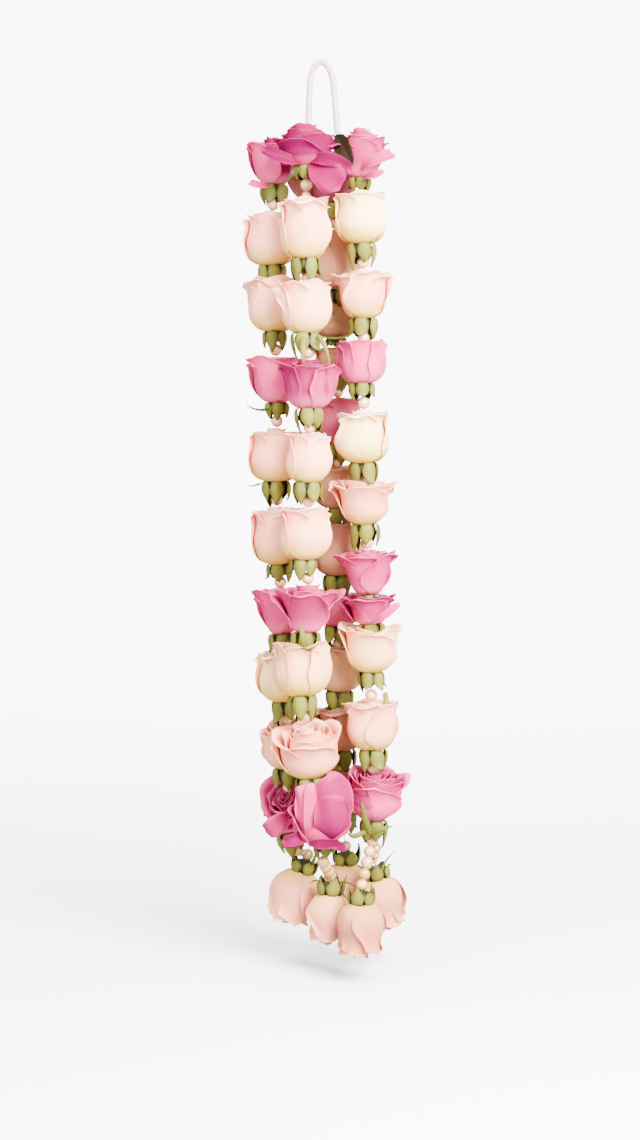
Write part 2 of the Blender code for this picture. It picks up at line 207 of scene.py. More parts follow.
# A tail goes on from its strand's last pearl, or from its own start beside it. It has the
# radii of its pearls from the top down, then the foot of its rose's petals, the middle of the
# mouth below it, and the rose's radii.
Tail = namedtuple("Tail", "pearls foot mouth belly rim start", defaults=(None,))
TAILS = {
    "a": Tail((3.6, 5.4), (-17, 26, -729), (-31, 27, -775), 22.5, 22.0),
    "b": Tail((5.6, 5.6, 4.8), (8, -10, -742), (5, -12, -786), 20.5, 20.5),
    "c": Tail((5.0,), (23, 38, -724), (23, 39, -769), 21.0, 20.5),
    "d": Tail((5.3, 5.8, 5.2, 5.4), (36, -44, -743), (35, -46, -789), 22.0, 22.5),
    "e": Tail((4.0, 4.2, 2.8), (51, 1, -730), (59, 2, -775), 22.5, 22.0, (51.6, -13.0, -694)),
}


# A layer of petals: how many there are, its belly as a share of the rose's, its rim as a
# share of the rose's rim where the rose is closed and where it is open, its height as a share
# of the rose's, the half width and outward curl of each petal in degrees, and its grid. The
# first layer is the outermost.
Layer = namedtuple("Layer", "petals belly rim_closed rim_open height width curl rows cols")
LAYERS = (
    Layer(3, 1.00, 1.00, 1.00, 1.00, 72, 105, 17, 21),
    Layer(3, 0.93, 0.90, 0.83, 0.985, 70, 75, 15, 19),
    Layer(4, 0.81, 0.72, 0.64, 0.965, 58, 50, 11, 13),
    Layer(4, 0.67, 0.52, 0.47, 0.945, 62, 42, 10, 11),
    Layer(3, 0.50, 0.34, 0.34, 0.925, 78, 36, 9, 11),
    Layer(3, 0.34, 0.20, 0.22, 0.905, 82, 30, 9, 11),
    Layer(2, 0.19, 0.10, 0.12, 0.890, 125, 20, 8, 13),
)
# A petal's lip starts at a share of its length. Its outer side laps over the next petal and
# rolls outward.
LIP_FROM = 0.80
LAP = 2.6
EDGE_ROLL = 3.2
# What varies by chance from petal to petal
TURN_CHANCE = 6
BELLY_CHANCE = 0.3
RIM_CHANCE = 0.8
HEIGHT_CHANCE = (-0.025, 0.012)
TAPER_CHANCE = 0.1
LIP_CHANCE = (-0.05, 0.07)
CURL_CHANCE = (0.35, 1.4)
PALE_CHANCE = 0.12
# The outer petals stand in from the solid's belly and rim, and inner ones from its rim
OUTER_BELLY_INSET = 0.8
OUTER_RIM_INSET = 2.2
INNER_RIM_INSET = 0.8
# The waist of a closed rose, as shares of its belly and rim added up, and the foot of a cone
# as a share of the belly
WAIST_SHARES = (0.32, 0.56)
CONE_FOOT = 0.5
# The heart, which is all layers from this one on, stays under the pearl above and within
# these shares of the rose's height. Layers under a narrow rim stay under the pearl too.
HEART_DEPTH = 4
HEART_GAP = 6.5
HEART_HEIGHTS = (0.84, 1.06)
NARROW_RIM = 14
NARROW_GAP = 3.0
# Below this wrap the outer petals stand apart all the way down
PARTED_WRAP = 0.7
# A pair is a value for a closed rose, and what a full-blown one has more: where the bowl
# ends, how far a petal's rim falls to its sides, and its point, all as shares of its height
BOWL_END = (0.36, 0.22)
OUTER_ROUNDING = (0.13, 0.10)
INNER_ROUNDING = 0.08
POINT = (0.03, 0.04)
# How high the rim waves, as a share of the height, and how much more for each mm of flare
OUTER_WAVES = 0.012
INNER_WAVES = 0.006
FRILL_WAVES = 0.003
# Creases near the foot: their place across the petal, width and depth
CREASES = ((0.0, 0.16, 1.0), (0.62, 0.14, 0.4))
CREASE_DEPTH = 0.8
DENT_DEPTH = 0.35
PLEAT_DEPTH = 0.06
# How much further than its curl, in radians, a lip's middle turns, and how far it ruffles
LIP_TIP = 1.1
LIP_RUFFLE = 0.25

# How a rose is dressed. face is the compass angle of an outer petal, open goes from 0, a
# closed bud, to 1, full blown, and sink lowers the outer petals of an open one. dip lowers the
# rim towards the compass angle dip_at, and curl scales the lips. pale goes from -1, deeper
# than the tint, through 0, the full tint, to 1. hand is 1 where a petal's right side laps over
# the next, as seen from the front, and -1 where its left side does, and bow nods the petals
# further than the solid. girth scales the petals round the rose, shift moves them along X,
# lift moves them up, flare widens the rim in millimetres, and wrap scales the width of the
# outer petals. cone straightens the bowl into a cone, core is pale for the inner petals, shade
# is painted shade, a share towards the dark shade colour that is largest on the back strand's
# roses in the shadow between the strands, and leafy scales the sepals.
Look = namedtuple("Look", "face open sink dip dip_at curl pale hand bow girth shift lift flare "
                  "wrap cone core shade leafy",
                  defaults=(270, 0.15, 0, 0, 270, 1, 0.5, 1, 0, 1, 0, 0, 0, 1, 0, None, 0, 1))
# The back strand's roses lie in shadow between the other strands: painted shade darkens them
BACK_LOOK = Look(pale=0.8, shade=0.8)
LOOKS = {
    "a01": Look(222, 0.8, dip=8, dip_at=280, curl=1.2, pale=0.85, girth=0.9, shift=1.5, flare=4,
                cone=0.5, core=0.1),
    "a02": Look(252, 0.1, curl=0.8, pale=0.8, shift=-2),
    "a03": Look(222, 0.2, curl=0.9, pale=0.6, hand=-1, leafy=0.75),
    "a04": Look(232, 0.4, pale=0.95, flare=1.5, cone=0.25, leafy=0.7),
    "a05": Look(258, 0.1, curl=0.7, pale=0.2, shift=-1, shade=0.08),
    "a06": Look(250, 0.1, curl=0.8, pale=0.4, shade=0.05, leafy=0.85),
    "a07": Look(225, 0.8, curl=0.8, pale=0.85, flare=4, cone=0.8),
    "a08": Look(238, 0.2, curl=0.9, pale=0.8),
    "a09": Look(215, 0.8, 0.15, pale=0.4, shift=-1.5),
    "a10": Look(235, 1, curl=1.1, pale=0.75, bow=34, shift=-4, flare=2, core=0.45),
    "b01": Look(250, 1, 0.36, curl=1.3, pale=-0.25, girth=1.02, flare=4, wrap=0.8, core=-0.35,
                leafy=0.6),
    "b02": Look(278, 0.1, curl=1.1, pale=0.7, girth=0.93, shift=-1.8),
    "b03": Look(290, curl=0.8, pale=0.9, girth=0.93, shift=-2.5),
    "b04": Look(325, 0.3, dip=3, dip_at=290, curl=0.8, pale=0.3, flare=1.5, wrap=0.6, cone=0.1,
                core=0.1),
    "b05": Look(284, 0.1, curl=0.8, pale=0.9, girth=0.9, shift=-1.3),
    "b06": Look(288, 0.1, curl=0.9, girth=0.97, shift=-3.5, leafy=0.8),
    "b07": Look(268, 1, 0.05, curl=0.5, flare=6.5, wrap=0.85, cone=0.8),
    "b08": Look(325, 0.2, pale=-0.2, girth=0.94, shift=-4, lift=2, wrap=0.5),
    "b09": Look(262, 0.8, curl=0.9, pale=-0.1, bow=-8, shift=-2, wrap=0.9, shade=0.06),
    "b10": Look(282, 0.9, 0.25, curl=0.8, shift=3, leafy=0.5),
    # The back strand's roses, each with its own share of painted shade
    "c01": Look(pale=-0.3, shade=0.35),
    "c03": Look(pale=0.8, shade=0.9),
    "c04": Look(pale=0.8, shade=0.88),
    "c05": Look(pale=0.3, shade=0.35),
    "c08": Look(pale=1, shade=0.35),
    "c09": Look(pale=0.8, shade=0.68),
    "d01": Look(262, 0.9, 0.22, curl=1.2, pale=0.3, girth=0.92, shift=-2, flare=3, wrap=0.85,
                cone=0.45, leafy=0.6),
    "d02": Look(266, 0.1, curl=1.2, pale=1, girth=0.97, shift=-1),
    "d03": Look(282, 0.4, dip=3, dip_at=230, curl=1.3, pale=0.3, hand=-1, girth=0.96, flare=1,
                wrap=0.85, cone=0.45),
    "d04": Look(330, 0.1, curl=0.6, pale=0.95, girth=0.93, shift=-2, lift=1, wrap=0.48, leafy=0.8),
    "d05": Look(262, 0.1, curl=0.9, pale=1, hand=-1, shift=-1.3),
    "d06": Look(262, 0.6, 0.05, dip=6, pale=0.1, shift=-1.5, flare=1, shade=0.06),
    "d07": Look(314, 0.7, curl=0.7, pale=0.6, hand=-1, flare=3, wrap=0.72, cone=0.65),
    "d08": Look(244, 0.7, curl=0.7, pale=0.25, lift=4.5, flare=3, cone=0.5),
    "d09": Look(266, 0.5, dip=4, curl=0.7, pale=0.2, girth=0.97, lift=4.5, flare=1.5, wrap=0.95,
                cone=0.3, leafy=0.85),
    "d10": Look(325, 0.3, pale=0.2, hand=-1),
    "d11": Look(262, 1, 0.05, dip=3, curl=0.9, pale=1, shift=1, lift=1.5, wrap=0.95, core=0.4),
    # The tails' roses are darkened by painted shade
    "tail_a": Look(250, 0.1, curl=0.25, pale=0.1, flare=-3.5, shade=0.08),
    "tail_b": Look(325, 0.1, curl=0.25, pale=0.2, girth=0.94, flare=-3.5, wrap=0.75, shade=0.28),
    "tail_c": Look(open=0.1, curl=0.25, pale=0.2, flare=-3.5, shade=0.5),
    "tail_d": Look(275, 0.1, curl=0.35, pale=-0.2, girth=0.97, flare=-2.5, wrap=0.85, shade=0.47),
    "tail_e": Look(300, 0.1, curl=0.3, pale=0, girth=0.94, flare=-3, shade=0.4),
}

# A petal or sepal of a rose that stands free of the rest: the four control points of its
# middle line, the way its hollow side faces, its half width, how far it cups round in
# radians, with a bulge towards that side if less than 0, how far its tip bends back, and a
# petal's pale.
Loose = namedtuple("Loose", "rose path facing width cup lip pale", defaults=(0.0, 0.2))
LOOSE_PETALS = (
    Loose("b01", ((-8.8, -48, -90.7), (-0.1, -60, -88), (13.9, -64, -91.1), (26.2, -56, -100.5)),
          (0, -1, 0.1), 7.5, 1, 1.5, -0.6),
    Loose("b01", ((-9, -46, -91.5), (1, -60, -98), (8, -66, -107), (15.5, -62, -116)),
          (-0.1, -1, 0.25), 14, 0.35, 1.5, -0.15),
    Loose("b01", ((-17.6, -46, -93.1), (-26.2, -60, -94), (-38.4, -62, -88.1), (-52.4, -52, -79)),
          (0, -0.8, 0.6), 7.5, 1.1, 2, -0.6),
    Loose("a01",
          ((-46.8, -2, -107.3), (-53.7, -10, -108.3), (-59, -12, -105.8), (-64.5, -8, -103.5)),
          (0, -0.9, 0.4), 4.5, 1.2, 2, 0.8),
    Loose("d01", ((35.4, -30, -96.4), (44, -42, -89.1), (54.5, -42, -86.4), (64.5, -34, -81.9)),
          (0, -0.9, 0.5), 7.5, 1.2, 2, 0.45),
    Loose("d01",
          ((37.2, -28, -103.2), (44.1, -38, -104.4), (49.4, -38, -101.8), (53.9, -32, -95.8)),
          (0, -0.6, 0.8), 5, 1, 1, 0.5),
    Loose("b03", ((-24, -38, -236), (-20, -55, -232), (-23, -57, -212), (-40, -38, -202)),
          (0.3, 1, 0), 8.5, 0.8, 1.5, 0.5),
    Loose("b10", ((8, -52, -685), (10, -69, -678), (11, -68, -658), (10.6, -61, -645)),
          (0.1, -1, 0), 18, -0.8, -3, 0.1),
    Loose("b10", ((8, -42, -680), (11, -60, -668), (14, -59, -644), (8, -50, -627.5)),
          (0.15, -1, 0.1), 19.5, -0.75, -2, 0.15),
    Loose("a10", ((-30, -8, -672), (-37, -20, -676), (-44, -22, -681), (-50.5, -15, -686)),
          (0.1, -1, 0.1), 10, 0.8, 2, 0.35),
    Loose("b10", ((2.6, -36, -681.6), (5.2, -54, -683.5), (6, -66, -686.4), (6.9, -70, -689.9)),
          (0, -0.5, -1), 18, 0.7, pale=-0.65),
    Loose("b10",
          ((-12.4, -40, -682.6), (-17.5, -54, -683.5), (-24.5, -58, -686.2), (-34.1, -56, -686.6)),
          (0, -1, 0.3), 7, 0.8, 1, -0.4),
    Loose("b10", ((-5, -46, -684), (-8, -64, -676), (-6, -62, -652), (-9, -52, -637)),
          (0.5, -1, 0), 10, -1, -2.5, 0.6),
    Loose("b10", ((-12, -42, -682), (-16.4, -60, -674), (-14.2, -58, -654), (-19, -48, -639)),
          (-0.5, -1, 0), 11, -1, -2, 0.8),
    # A dark petal behind the top roses: painted shade in the shadowed gap between them
    Loose("c01", ((-6, 32, -113), (-16, 24, -109), (-22, 20, -100), (-26, 18, -86)), (0, -1, 0),
          11, 0.8, pale=-1),
    Loose("d08",
          ((46.8, -36, -494.5), (55.3, -44, -488.5), (61.5, -44, -481.4), (69.6, -38, -476.6)),
          (0, -0.9, 0.5), 4.5, 1.2, 1, 0.6),
)
LOOSE_SEPALS = (
    Loose("b01", ((-18.5, -44, -95), (-22.5, -51, -99), (-26, -52, -103), (-31.5, -48, -109.5)),
          (0, -1, 0.3), 3.2, 0.6),
    Loose("b07",
          ((-14.9, -58, -515.2), (-15.7, -66, -507.4), (-16.6, -66, -500.4), (-17.5, -62, -491.2)),
          (0, 1, 0), 3.8, 0.8),
    Loose("b07",
          ((-13.1, -58, -516.9), (-8.7, -66, -516.1), (-5.3, -66, -513.5), (-1.8, -62, -509.5)),
          (0, 0.5, 1), 2.6, 0.8),
    Loose("d11",
          ((44.3, -30, -684.6), (38.7, -40, -675.6), (36.9, -44, -662.5), (36, -44, -651.1)),
          (0.3, 1, 0), 4.4, 0.8),
    Loose("d11",
          ((40.7, -30, -682.8), (31.7, -40, -686.2), (26.4, -42, -685.8), (23.8, -40, -680.9)),
          (0, 1, 0.5), 4.2, 0.9),
    Loose("d11", ((44.3, -30, -684), (50, -38, -680), (57, -38, -678), (64, -32, -677)),
          (0, 1, 0.5), 4, 0.9),
    Loose("a04", ((-46.8, 0, -305.1), (-53.8, -6, -307.1), (-60.9, -8, -306.2), (-67, -6, -300.6)),
          (0, -0.6, 1), 2.2, 0.6),
    Loose("d03", ((25, -16, -240), (16, -26, -244), (6, -32, -243), (-3, -34, -240.5)),
          (0, -0.6, 1), 1.6, 0.6),
    Loose("b03", ((-3.6, -48, -241.6), (2.6, -56, -246.3), (6.1, -56, -256.8), (7.8, -50, -270.6)),
          (0, 1, 0.3), 2.6, 0.8),
    Loose("b03",
          ((-14.1, -52, -242.7), (-15.7, -60, -250), (-16.6, -60, -258.7), (-14.9, -56, -267.3)),
          (0, 1, 0.3), 3.4, 0.8),
    Loose("a05", ((-54, 0, -371.7), (-59.3, -4, -373.4), (-62.8, -6, -375.1), (-66.4, -6, -372.5)),
          (0, -0.6, 1), 1.2, 0.6),
    Loose("d09",
          ((57.2, -14, -559), (58.8, -20, -565.4), (58.7, -22, -572.2), (57.9, -20, -579.6)),
          (0, 1, 0.2), 2.8, 0.8),
    Loose("c06",
          ((26.9, -6, -403.9), (30.4, -12, -407.2), (33.9, -14, -414.3), (35.7, -14, -421.4)),
          (0, 1, 0.2), 2.4, 0.8),
    Loose("a10",
          ((-19.8, -4, -642.8), (-16.1, -10, -636.5), (-12.5, -12, -630.8), (-14.3, -10, -625.7)),
          (0, 1, 0.2), 2.4, 0.8),
    Loose("tail_e",
          ((54.7, -8, -722.8), (57.2, -12, -713), (61.7, -12, -706.8), (68.9, -10, -702.7)),
          (0, 1, 0.2), 0.9, 0.5),
    Loose("tail_a",
          ((-21.8, 22, -723.6), (-25.4, 16, -717), (-28.1, 14, -711.1), (-29, 14, -704.8)),
          (0.5, 1, 0), 2.6, 0.8),
    Loose("tail_a",
          ((-9.1, 22, -725.5), (-6.3, 16, -718.8), (-5.4, 14, -713.8), (-4.5, 14, -708.4)),
          (-0.5, 1, 0), 2.6, 0.8),
    Loose("tail_b", ((0, -16, -731.9), (-3.6, -22, -727), (-7.1, -24, -727.5), (-10.7, -24, -731)),
          (0, -0.3, 1), 1.3, 0.6),
    Loose("tail_b",
          ((16, -16, -731.9), (23.1, -24, -728.4), (28.3, -28, -731.1), (33.6, -30, -733.3)),
          (0, 0.6, 1), 2.2, 0.8),
    Loose("tail_d",
          ((45.5, -50, -735.1), (45.3, -58, -728.1), (43.5, -60, -724.1), (45.3, -58, -722)),
          (0, 1, 0), 1.4, 0.6),
)

LOOSE_PETAL_GRID = (15, 15)
LOOSE_SEPAL_GRID = (13, 7)
# How far the foot's tint is pushed down, by strand, and on petals that stand free
RAISED = {"tail": 0.14, "c": 0.35}
LOOSE_RAISED = 0.46

# Sepals run out from under the petals and bend down round the pearl below.
SEPALS = 5
SEPAL_RADII = (4.2, 10.0, 12.9, 13.2, 11.4, 8.6)
SEPAL_DROPS = (0.6, 1.5, -0.6, -6.8, -13.2, -19.6)
SEPAL_HALF_WIDTHS = (2.8, 4.9, 5.6, 7.4, 4.6, 0.2)
SEPAL_ROWS = 13
SEPAL_COLS = 7
# The hip is broad enough to fill the gaps between the sepals with its dark colour, painted shade
HIP_RADII = (7.8, 9.6, 9.8, 8.8, 6.0)
HIP_DROPS = (1.2, -1.6, -5.2, -8.6, -10.8)
HIP_GRID = (7, 16)
SEPAL_LENGTHS = (0.82, 1.2)
SEPAL_WIDTHS = (0.86, 1.06)
SEPAL_HOOK = 7.0
SEPAL_SPLAYS = (-0.8, 1.6)
# How far a sepal turns and twists by chance, in radians, and how far its sides lie in
SEPAL_TURN = 0.08
SEPAL_TWIST = 0.15
SEPAL_HOLLOW = 1.3
# Where the thin edge starts at the tip of a sepal, and of one that stands free
SEPAL_TIP = 0.88
LOOSE_SEPAL_TIP = 0.9
# How much further the sepals of the tails' upside-down roses hook up and splay out, and how
# much shorter and narrower they are
TAIL_HOOK = 4.0
TAIL_SPLAY = 3.0
TAIL_SHORTER = 0.12
TAIL_NARROWER = 0.4


class GarlandSizes(bpy.types.PropertyGroup):
    """Sizes that can change without moving a piece off the frame"""

    petal_thickness: bpy.props.FloatProperty(
        name="Petal thickness", description="Thickness of a petal in its middle",
        default=0.0006, min=0.0002, max=0.002, precision=4, unit="LENGTH")
    sepal_thickness: bpy.props.FloatProperty(
        name="Sepal thickness", description="Thickness of a sepal in its middle",
        default=0.0008, min=0.0003, max=0.002, precision=4, unit="LENGTH")
    thread_radius: bpy.props.FloatProperty(
        name="Thread radius", description="Radius of the thread through roses and pearls",
        default=0.0005, min=0.0002, max=0.0008, precision=4, unit="LENGTH")
    winding_radius: bpy.props.FloatProperty(
        name="Winding radius", description="Radius of the thread wound round the binding",
        default=0.0008, min=0.0003, max=0.0012, precision=4, unit="LENGTH")
    leaf_thickness: bpy.props.FloatProperty(
        name="Leaf thickness", description="Thickness of the leaf's blade",
        default=0.0007, min=0.0003, max=0.0015, precision=4, unit="LENGTH")


def colour_property(name, description, default):
    """A colour in the panel."""
    return bpy.props.FloatVectorProperty(
        name=name, description=description, default=default, size=3, min=0.0, max=1.0,
        subtype="COLOR")


class GarlandColours(bpy.types.PropertyGroup):
    """Colours of the finishes, as linear values"""

    pink: colour_property("Pink petals", "Body of a deep pink petal", (0.14, 0.0004, 0.043))
    pink_pale: colour_property(
        "Pale pink petals", "Body of a pale pink petal", (0.66, 0.036, 0.17))
    pink_heart: colour_property("Pink heart", "Innermost pink petals", (0.17, 0.0005, 0.022))
    pink_foot: colour_property("Pink foot", "Foot of a pink petal", (0.66, 0.09, 0.20))
    pink_rim: colour_property("Pink rim", "Edge of a pink petal", (0.68, 0.08, 0.21))
    blush: colour_property("Blush petals", "Body of a blush petal", (0.92, 0.31, 0.19))
    blush_pale: colour_property(
        "Pale blush petals", "Body of a pale blush petal", (0.96, 0.40, 0.27))
    blush_heart: colour_property("Blush heart", "Innermost blush petals", (0.90, 0.33, 0.21))
    blush_foot: colour_property("Blush foot", "Foot of a blush petal", (0.72, 0.44, 0.07))
    blush_rim: colour_property("Blush rim", "Edge of a blush petal", (0.95, 0.62, 0.45))
    cream: colour_property("Cream petals", "Body of a cream petal", (0.92, 0.42, 0.22))
    cream_pale: colour_property(
        "Pale cream petals", "Body of a pale cream petal", (0.97, 0.62, 0.29))
    cream_heart: colour_property("Cream heart", "Innermost cream petals", (0.91, 0.42, 0.24))
    cream_foot: colour_property("Cream foot", "Foot of a cream petal", (0.62, 0.46, 0.03))
    cream_rim: colour_property("Cream rim", "Edge of a cream petal", (0.95, 0.68, 0.44))
    # Painted shade: the dark colour that petals lying in shadow lean to
    shade: colour_property(
        "Shaded petals", "What the back strand's petals lean to", (0.18, 0.078, 0.03))
    sepal: colour_property("Sepals", "Outer face of a sepal", (0.17, 0.165, 0.019))
    # Painted shade: the near black green of a sepal's inner face and the hip stands for the shadow
    # inside the calyx
    sepal_inside_shade: colour_property(
        "Sepal inside", "Inner face of a sepal, and the hip", (0.012, 0.014, 0.0012))
    # The dark brown edge is partly the sepal's dried edge and partly painted shade along it
    sepal_edge: colour_property("Sepal edge", "Dried edge of a sepal", (0.04, 0.028, 0.006))
    leaf: colour_property("Leaf", "Blade of the leaf", (0.009, 0.0042, 0.0014))
    leaf_vein: colour_property("Leaf veins", "Midrib and veins of the leaf", (0.016, 0.009, 0.004))
    pearl: colour_property("Pearls", "Body of a pearl", (0.50, 0.27, 0.065))
    # Painted sheen: paler clouds that stand for the lustre playing over a pearl
    pearl_sheen: colour_property("Pearl glow", "Sheen that plays over a pearl", (0.66, 0.38, 0.11))
    # Painted light: the pearls between the roses are lighter than the tails' to make up for their
    # shade
    pearl_peach: colour_property("Peach pearls", "Pearls between the roses", (0.90, 0.46, 0.22))
    cord: colour_property("Cord", "Satin of the hanging loop", (0.48, 0.31, 0.26))
    thread: colour_property(
        "Thread", "Thread through the roses and round the binding", (0.86, 0.70, 0.50))
    floor: colour_property("Floor", "Floor and backdrop", (0.93, 0.93, 0.94))


def smooth(value, low, high):
    """Rises from 0 at low to 1 at high, and is level at both ends."""
    share = np.clip((value - low) / (high - low), 0.0, 1.0)
    return share * share * (3.0 - 2.0 * share)


def bell(value, width):
    """Is 1 where the value is 0, and falls to 0 to both sides: exp(-(value / width)^2)."""
    return np.exp(-((value / width) ** 2))


def through(values, at):
    """A curve through values that are spaced evenly from 0 to 1: cubic pieces whose slopes
    at each value are half the difference of its neighbours."""
    values = np.asarray(values, float)
    last = len(values) - 1
    slopes = np.gradient(values, axis=0)
    place = np.clip(np.asarray(at, float) * last, 0, last)
    low = np.minimum(place.astype(int), last - 1)
    t = place - low
    if values.ndim > 1:
        t = t[..., None]
    rise = t * t * (3 - 2 * t)
    return (values[low] * (1 - rise) + values[low + 1] * rise
            + slopes[low] * t * (1 - t) ** 2 - slopes[low + 1] * t * t * (1 - t))


def unit(vectors):
    """Vectors with their lengths made 1."""
    return vectors / np.linalg.norm(vectors, axis=-1, keepdims=True)


def round_angles(count):
    """Angles spaced evenly round a circle."""
    return np.linspace(0, 2 * math.pi, count + 1)[:-1]


def spaced_across(cols):
    """Shares from -1 to 1 across a sheet, closer together towards its two edges."""
    return np.sin(np.linspace(-1, 1, cols) * math.pi / 2)[None, :]


def normals(grid):
    """Unit normals of a grid of points: the cross product of its steps along and up."""
    across = np.gradient(grid, axis=1)
    along = np.gradient(grid, axis=0)
    normal = np.cross(across, along)
    return normal / np.maximum(np.linalg.norm(normal, axis=-1, keepdims=True), 1e-9)


def grid_faces(rows, cols):
    """The numbers of a grid's points, row by row, and the four corners of each of its faces."""
    index = np.arange(rows * cols).reshape(rows, cols)
    quads = np.stack([index[:-1, :-1], index[:-1, 1:], index[1:, 1:], index[1:, :-1]], -1)
    return index, quads.reshape(-1, 4)


def values_on(shape, *parts):
    """A vector for each point of a grid, from one array or number for each part."""
    return np.stack([np.broadcast_to(np.asarray(part, float), shape) for part in parts], -1)


class Surfaces:
    """Grids of points in mm gathered into one mesh, with the values its material reads."""

    def __init__(self):
        self.points, self.quads, self.fans = [], [], []
        self.place, self.tone, self.uv = [], [], []
        self.count = 0

    def add(self, points, quads, place, tone, uv, fans=None):
        """Adds faces of four corners, and of three in fans, whose corners index the points."""
        self.points.append(points)
        self.quads.append(quads + self.count)
        if fans is not None:
            self.fans.append(fans + self.count)
        self.place.append(place)
        self.tone.append(tone)
        self.uv.append(uv)
        self.count += len(points)

    def add_shell(self, middle, thickness, place, tone, uv):
        """Closes a sheet: its grid moved half the thickness along the normals to each side,
        with a strip of faces round the edge. The inner face's tone has its second value 1."""
        move = normals(middle) * thickness[..., None] / 2
        index, front = grid_faces(*middle.shape[:2])
        size = index.size
        edge = np.concatenate([index[0], index[1:, -1], index[-1, -2::-1], index[-2:0:-1, 0]])
        after = np.roll(edge, -1)
        strip = np.stack([after, edge, edge + size, after + size], -1)
        points = np.concatenate([(middle + move).reshape(-1, 3), (middle - move).reshape(-1, 3)])
        place = np.tile(place.reshape(-1, 3), (2, 1))
        tone = np.tile(tone.reshape(-1, 3), (2, 1))
        tone[size:, 1] = 1.0
        quads = np.concatenate([front, front[:, ::-1] + size, strip])
        self.add(points, quads, place, tone, np.tile(uv.reshape(-1, 2), (2, 1)))

    def add_tube(self, rings, place=0.0):
        """A tube through rings of points, with a fan of triangles to the middle of each end.
        Its UV map runs round the tube and along it, one unit a millimetre."""
        rows, cols = rings.shape[:2]
        index = np.arange(rows * cols).reshape(rows, cols)
        after = np.roll(index, -1, axis=1)
        quads = np.stack([index[:-1], after[:-1], after[1:], index[1:]], -1).reshape(-1, 4)
        ends = np.array([rings[0].mean(axis=0), rings[-1].mean(axis=0)])
        points = np.concatenate([rings.reshape(-1, 3), ends])
        low = np.stack([after[0], index[0], np.full(cols, rows * cols)], -1)
        high = np.stack([index[-1], after[-1], np.full(cols, rows * cols + 1)], -1)
        step = np.linalg.norm(np.diff(rings.mean(axis=1), axis=0), axis=-1)
        along = np.concatenate([[0.0], np.cumsum(step)])
        u, v = np.meshgrid(np.arange(cols) / cols, along)
        uv = np.concatenate([np.stack([u, v], -1).reshape(-1, 2), [[0.5, 0], [0.5, along[-1]]]])
        values = np.zeros((len(points), 3))
        values[:, 2] = place
        fans = np.concatenate([low, high])
        self.add(points, quads, values, np.zeros((len(points), 3)), uv, fans)

    def make(self, name, material, slot, nodes):
        """The mesh as a piece that rides on the body and stands for the CAD nodes."""
        mesh = bpy.data.meshes.new(name)
        faces = np.concatenate(self.quads).tolist()
        if self.fans:
            faces += np.concatenate(self.fans).tolist()
        mesh.from_pydata((np.concatenate(self.points) * MM).tolist(), [], faces)
        for label, values in (("place", self.place), ("tone", self.tone)):
            attribute = mesh.attributes.new(label, "FLOAT_VECTOR", "POINT")
            attribute.data.foreach_set("vector", np.concatenate(values).astype(np.float32).ravel())
        corners = np.zeros(len(mesh.loops), np.int32)
        mesh.loops.foreach_get("vertex_index", corners)
        layer = mesh.uv_layers.new(name="UVMap")
        uv = np.concatenate(self.uv).astype(np.float32)
        layer.data.foreach_set("uv", uv[corners].ravel())
        mesh.shade_smooth()
        mesh.set_sharp_from_angle(angle=math.radians(50))
        mesh.materials.append(material)
        piece = bpy.data.objects.new(name, mesh)
        bpy.context.scene.collection.objects.link(piece)
        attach(piece, "root")
        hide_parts(*nodes)
        return piece


def basis(axis):
    """Rows are the side, front and axis of a rose's own space, carried by the shortest turn
    from straight up, or for a rose upside down from straight down, onto the axis."""
    up = 1.0 if axis[2] > 0 else -1.0
    turn = Vector((0, 0, up)).rotation_difference(Vector(axis))
    rows = ((1, 0, 0), (0, up, 0), (0, 0, up))
    return np.array([turn @ Vector(row) for row in rows])


# Where a rose stands: the foot of its petals, its axis, its turn, and its room from the foot
# to the bead above it.
Stand = namedtuple("Stand", "name rose foot axis turn room strand look")


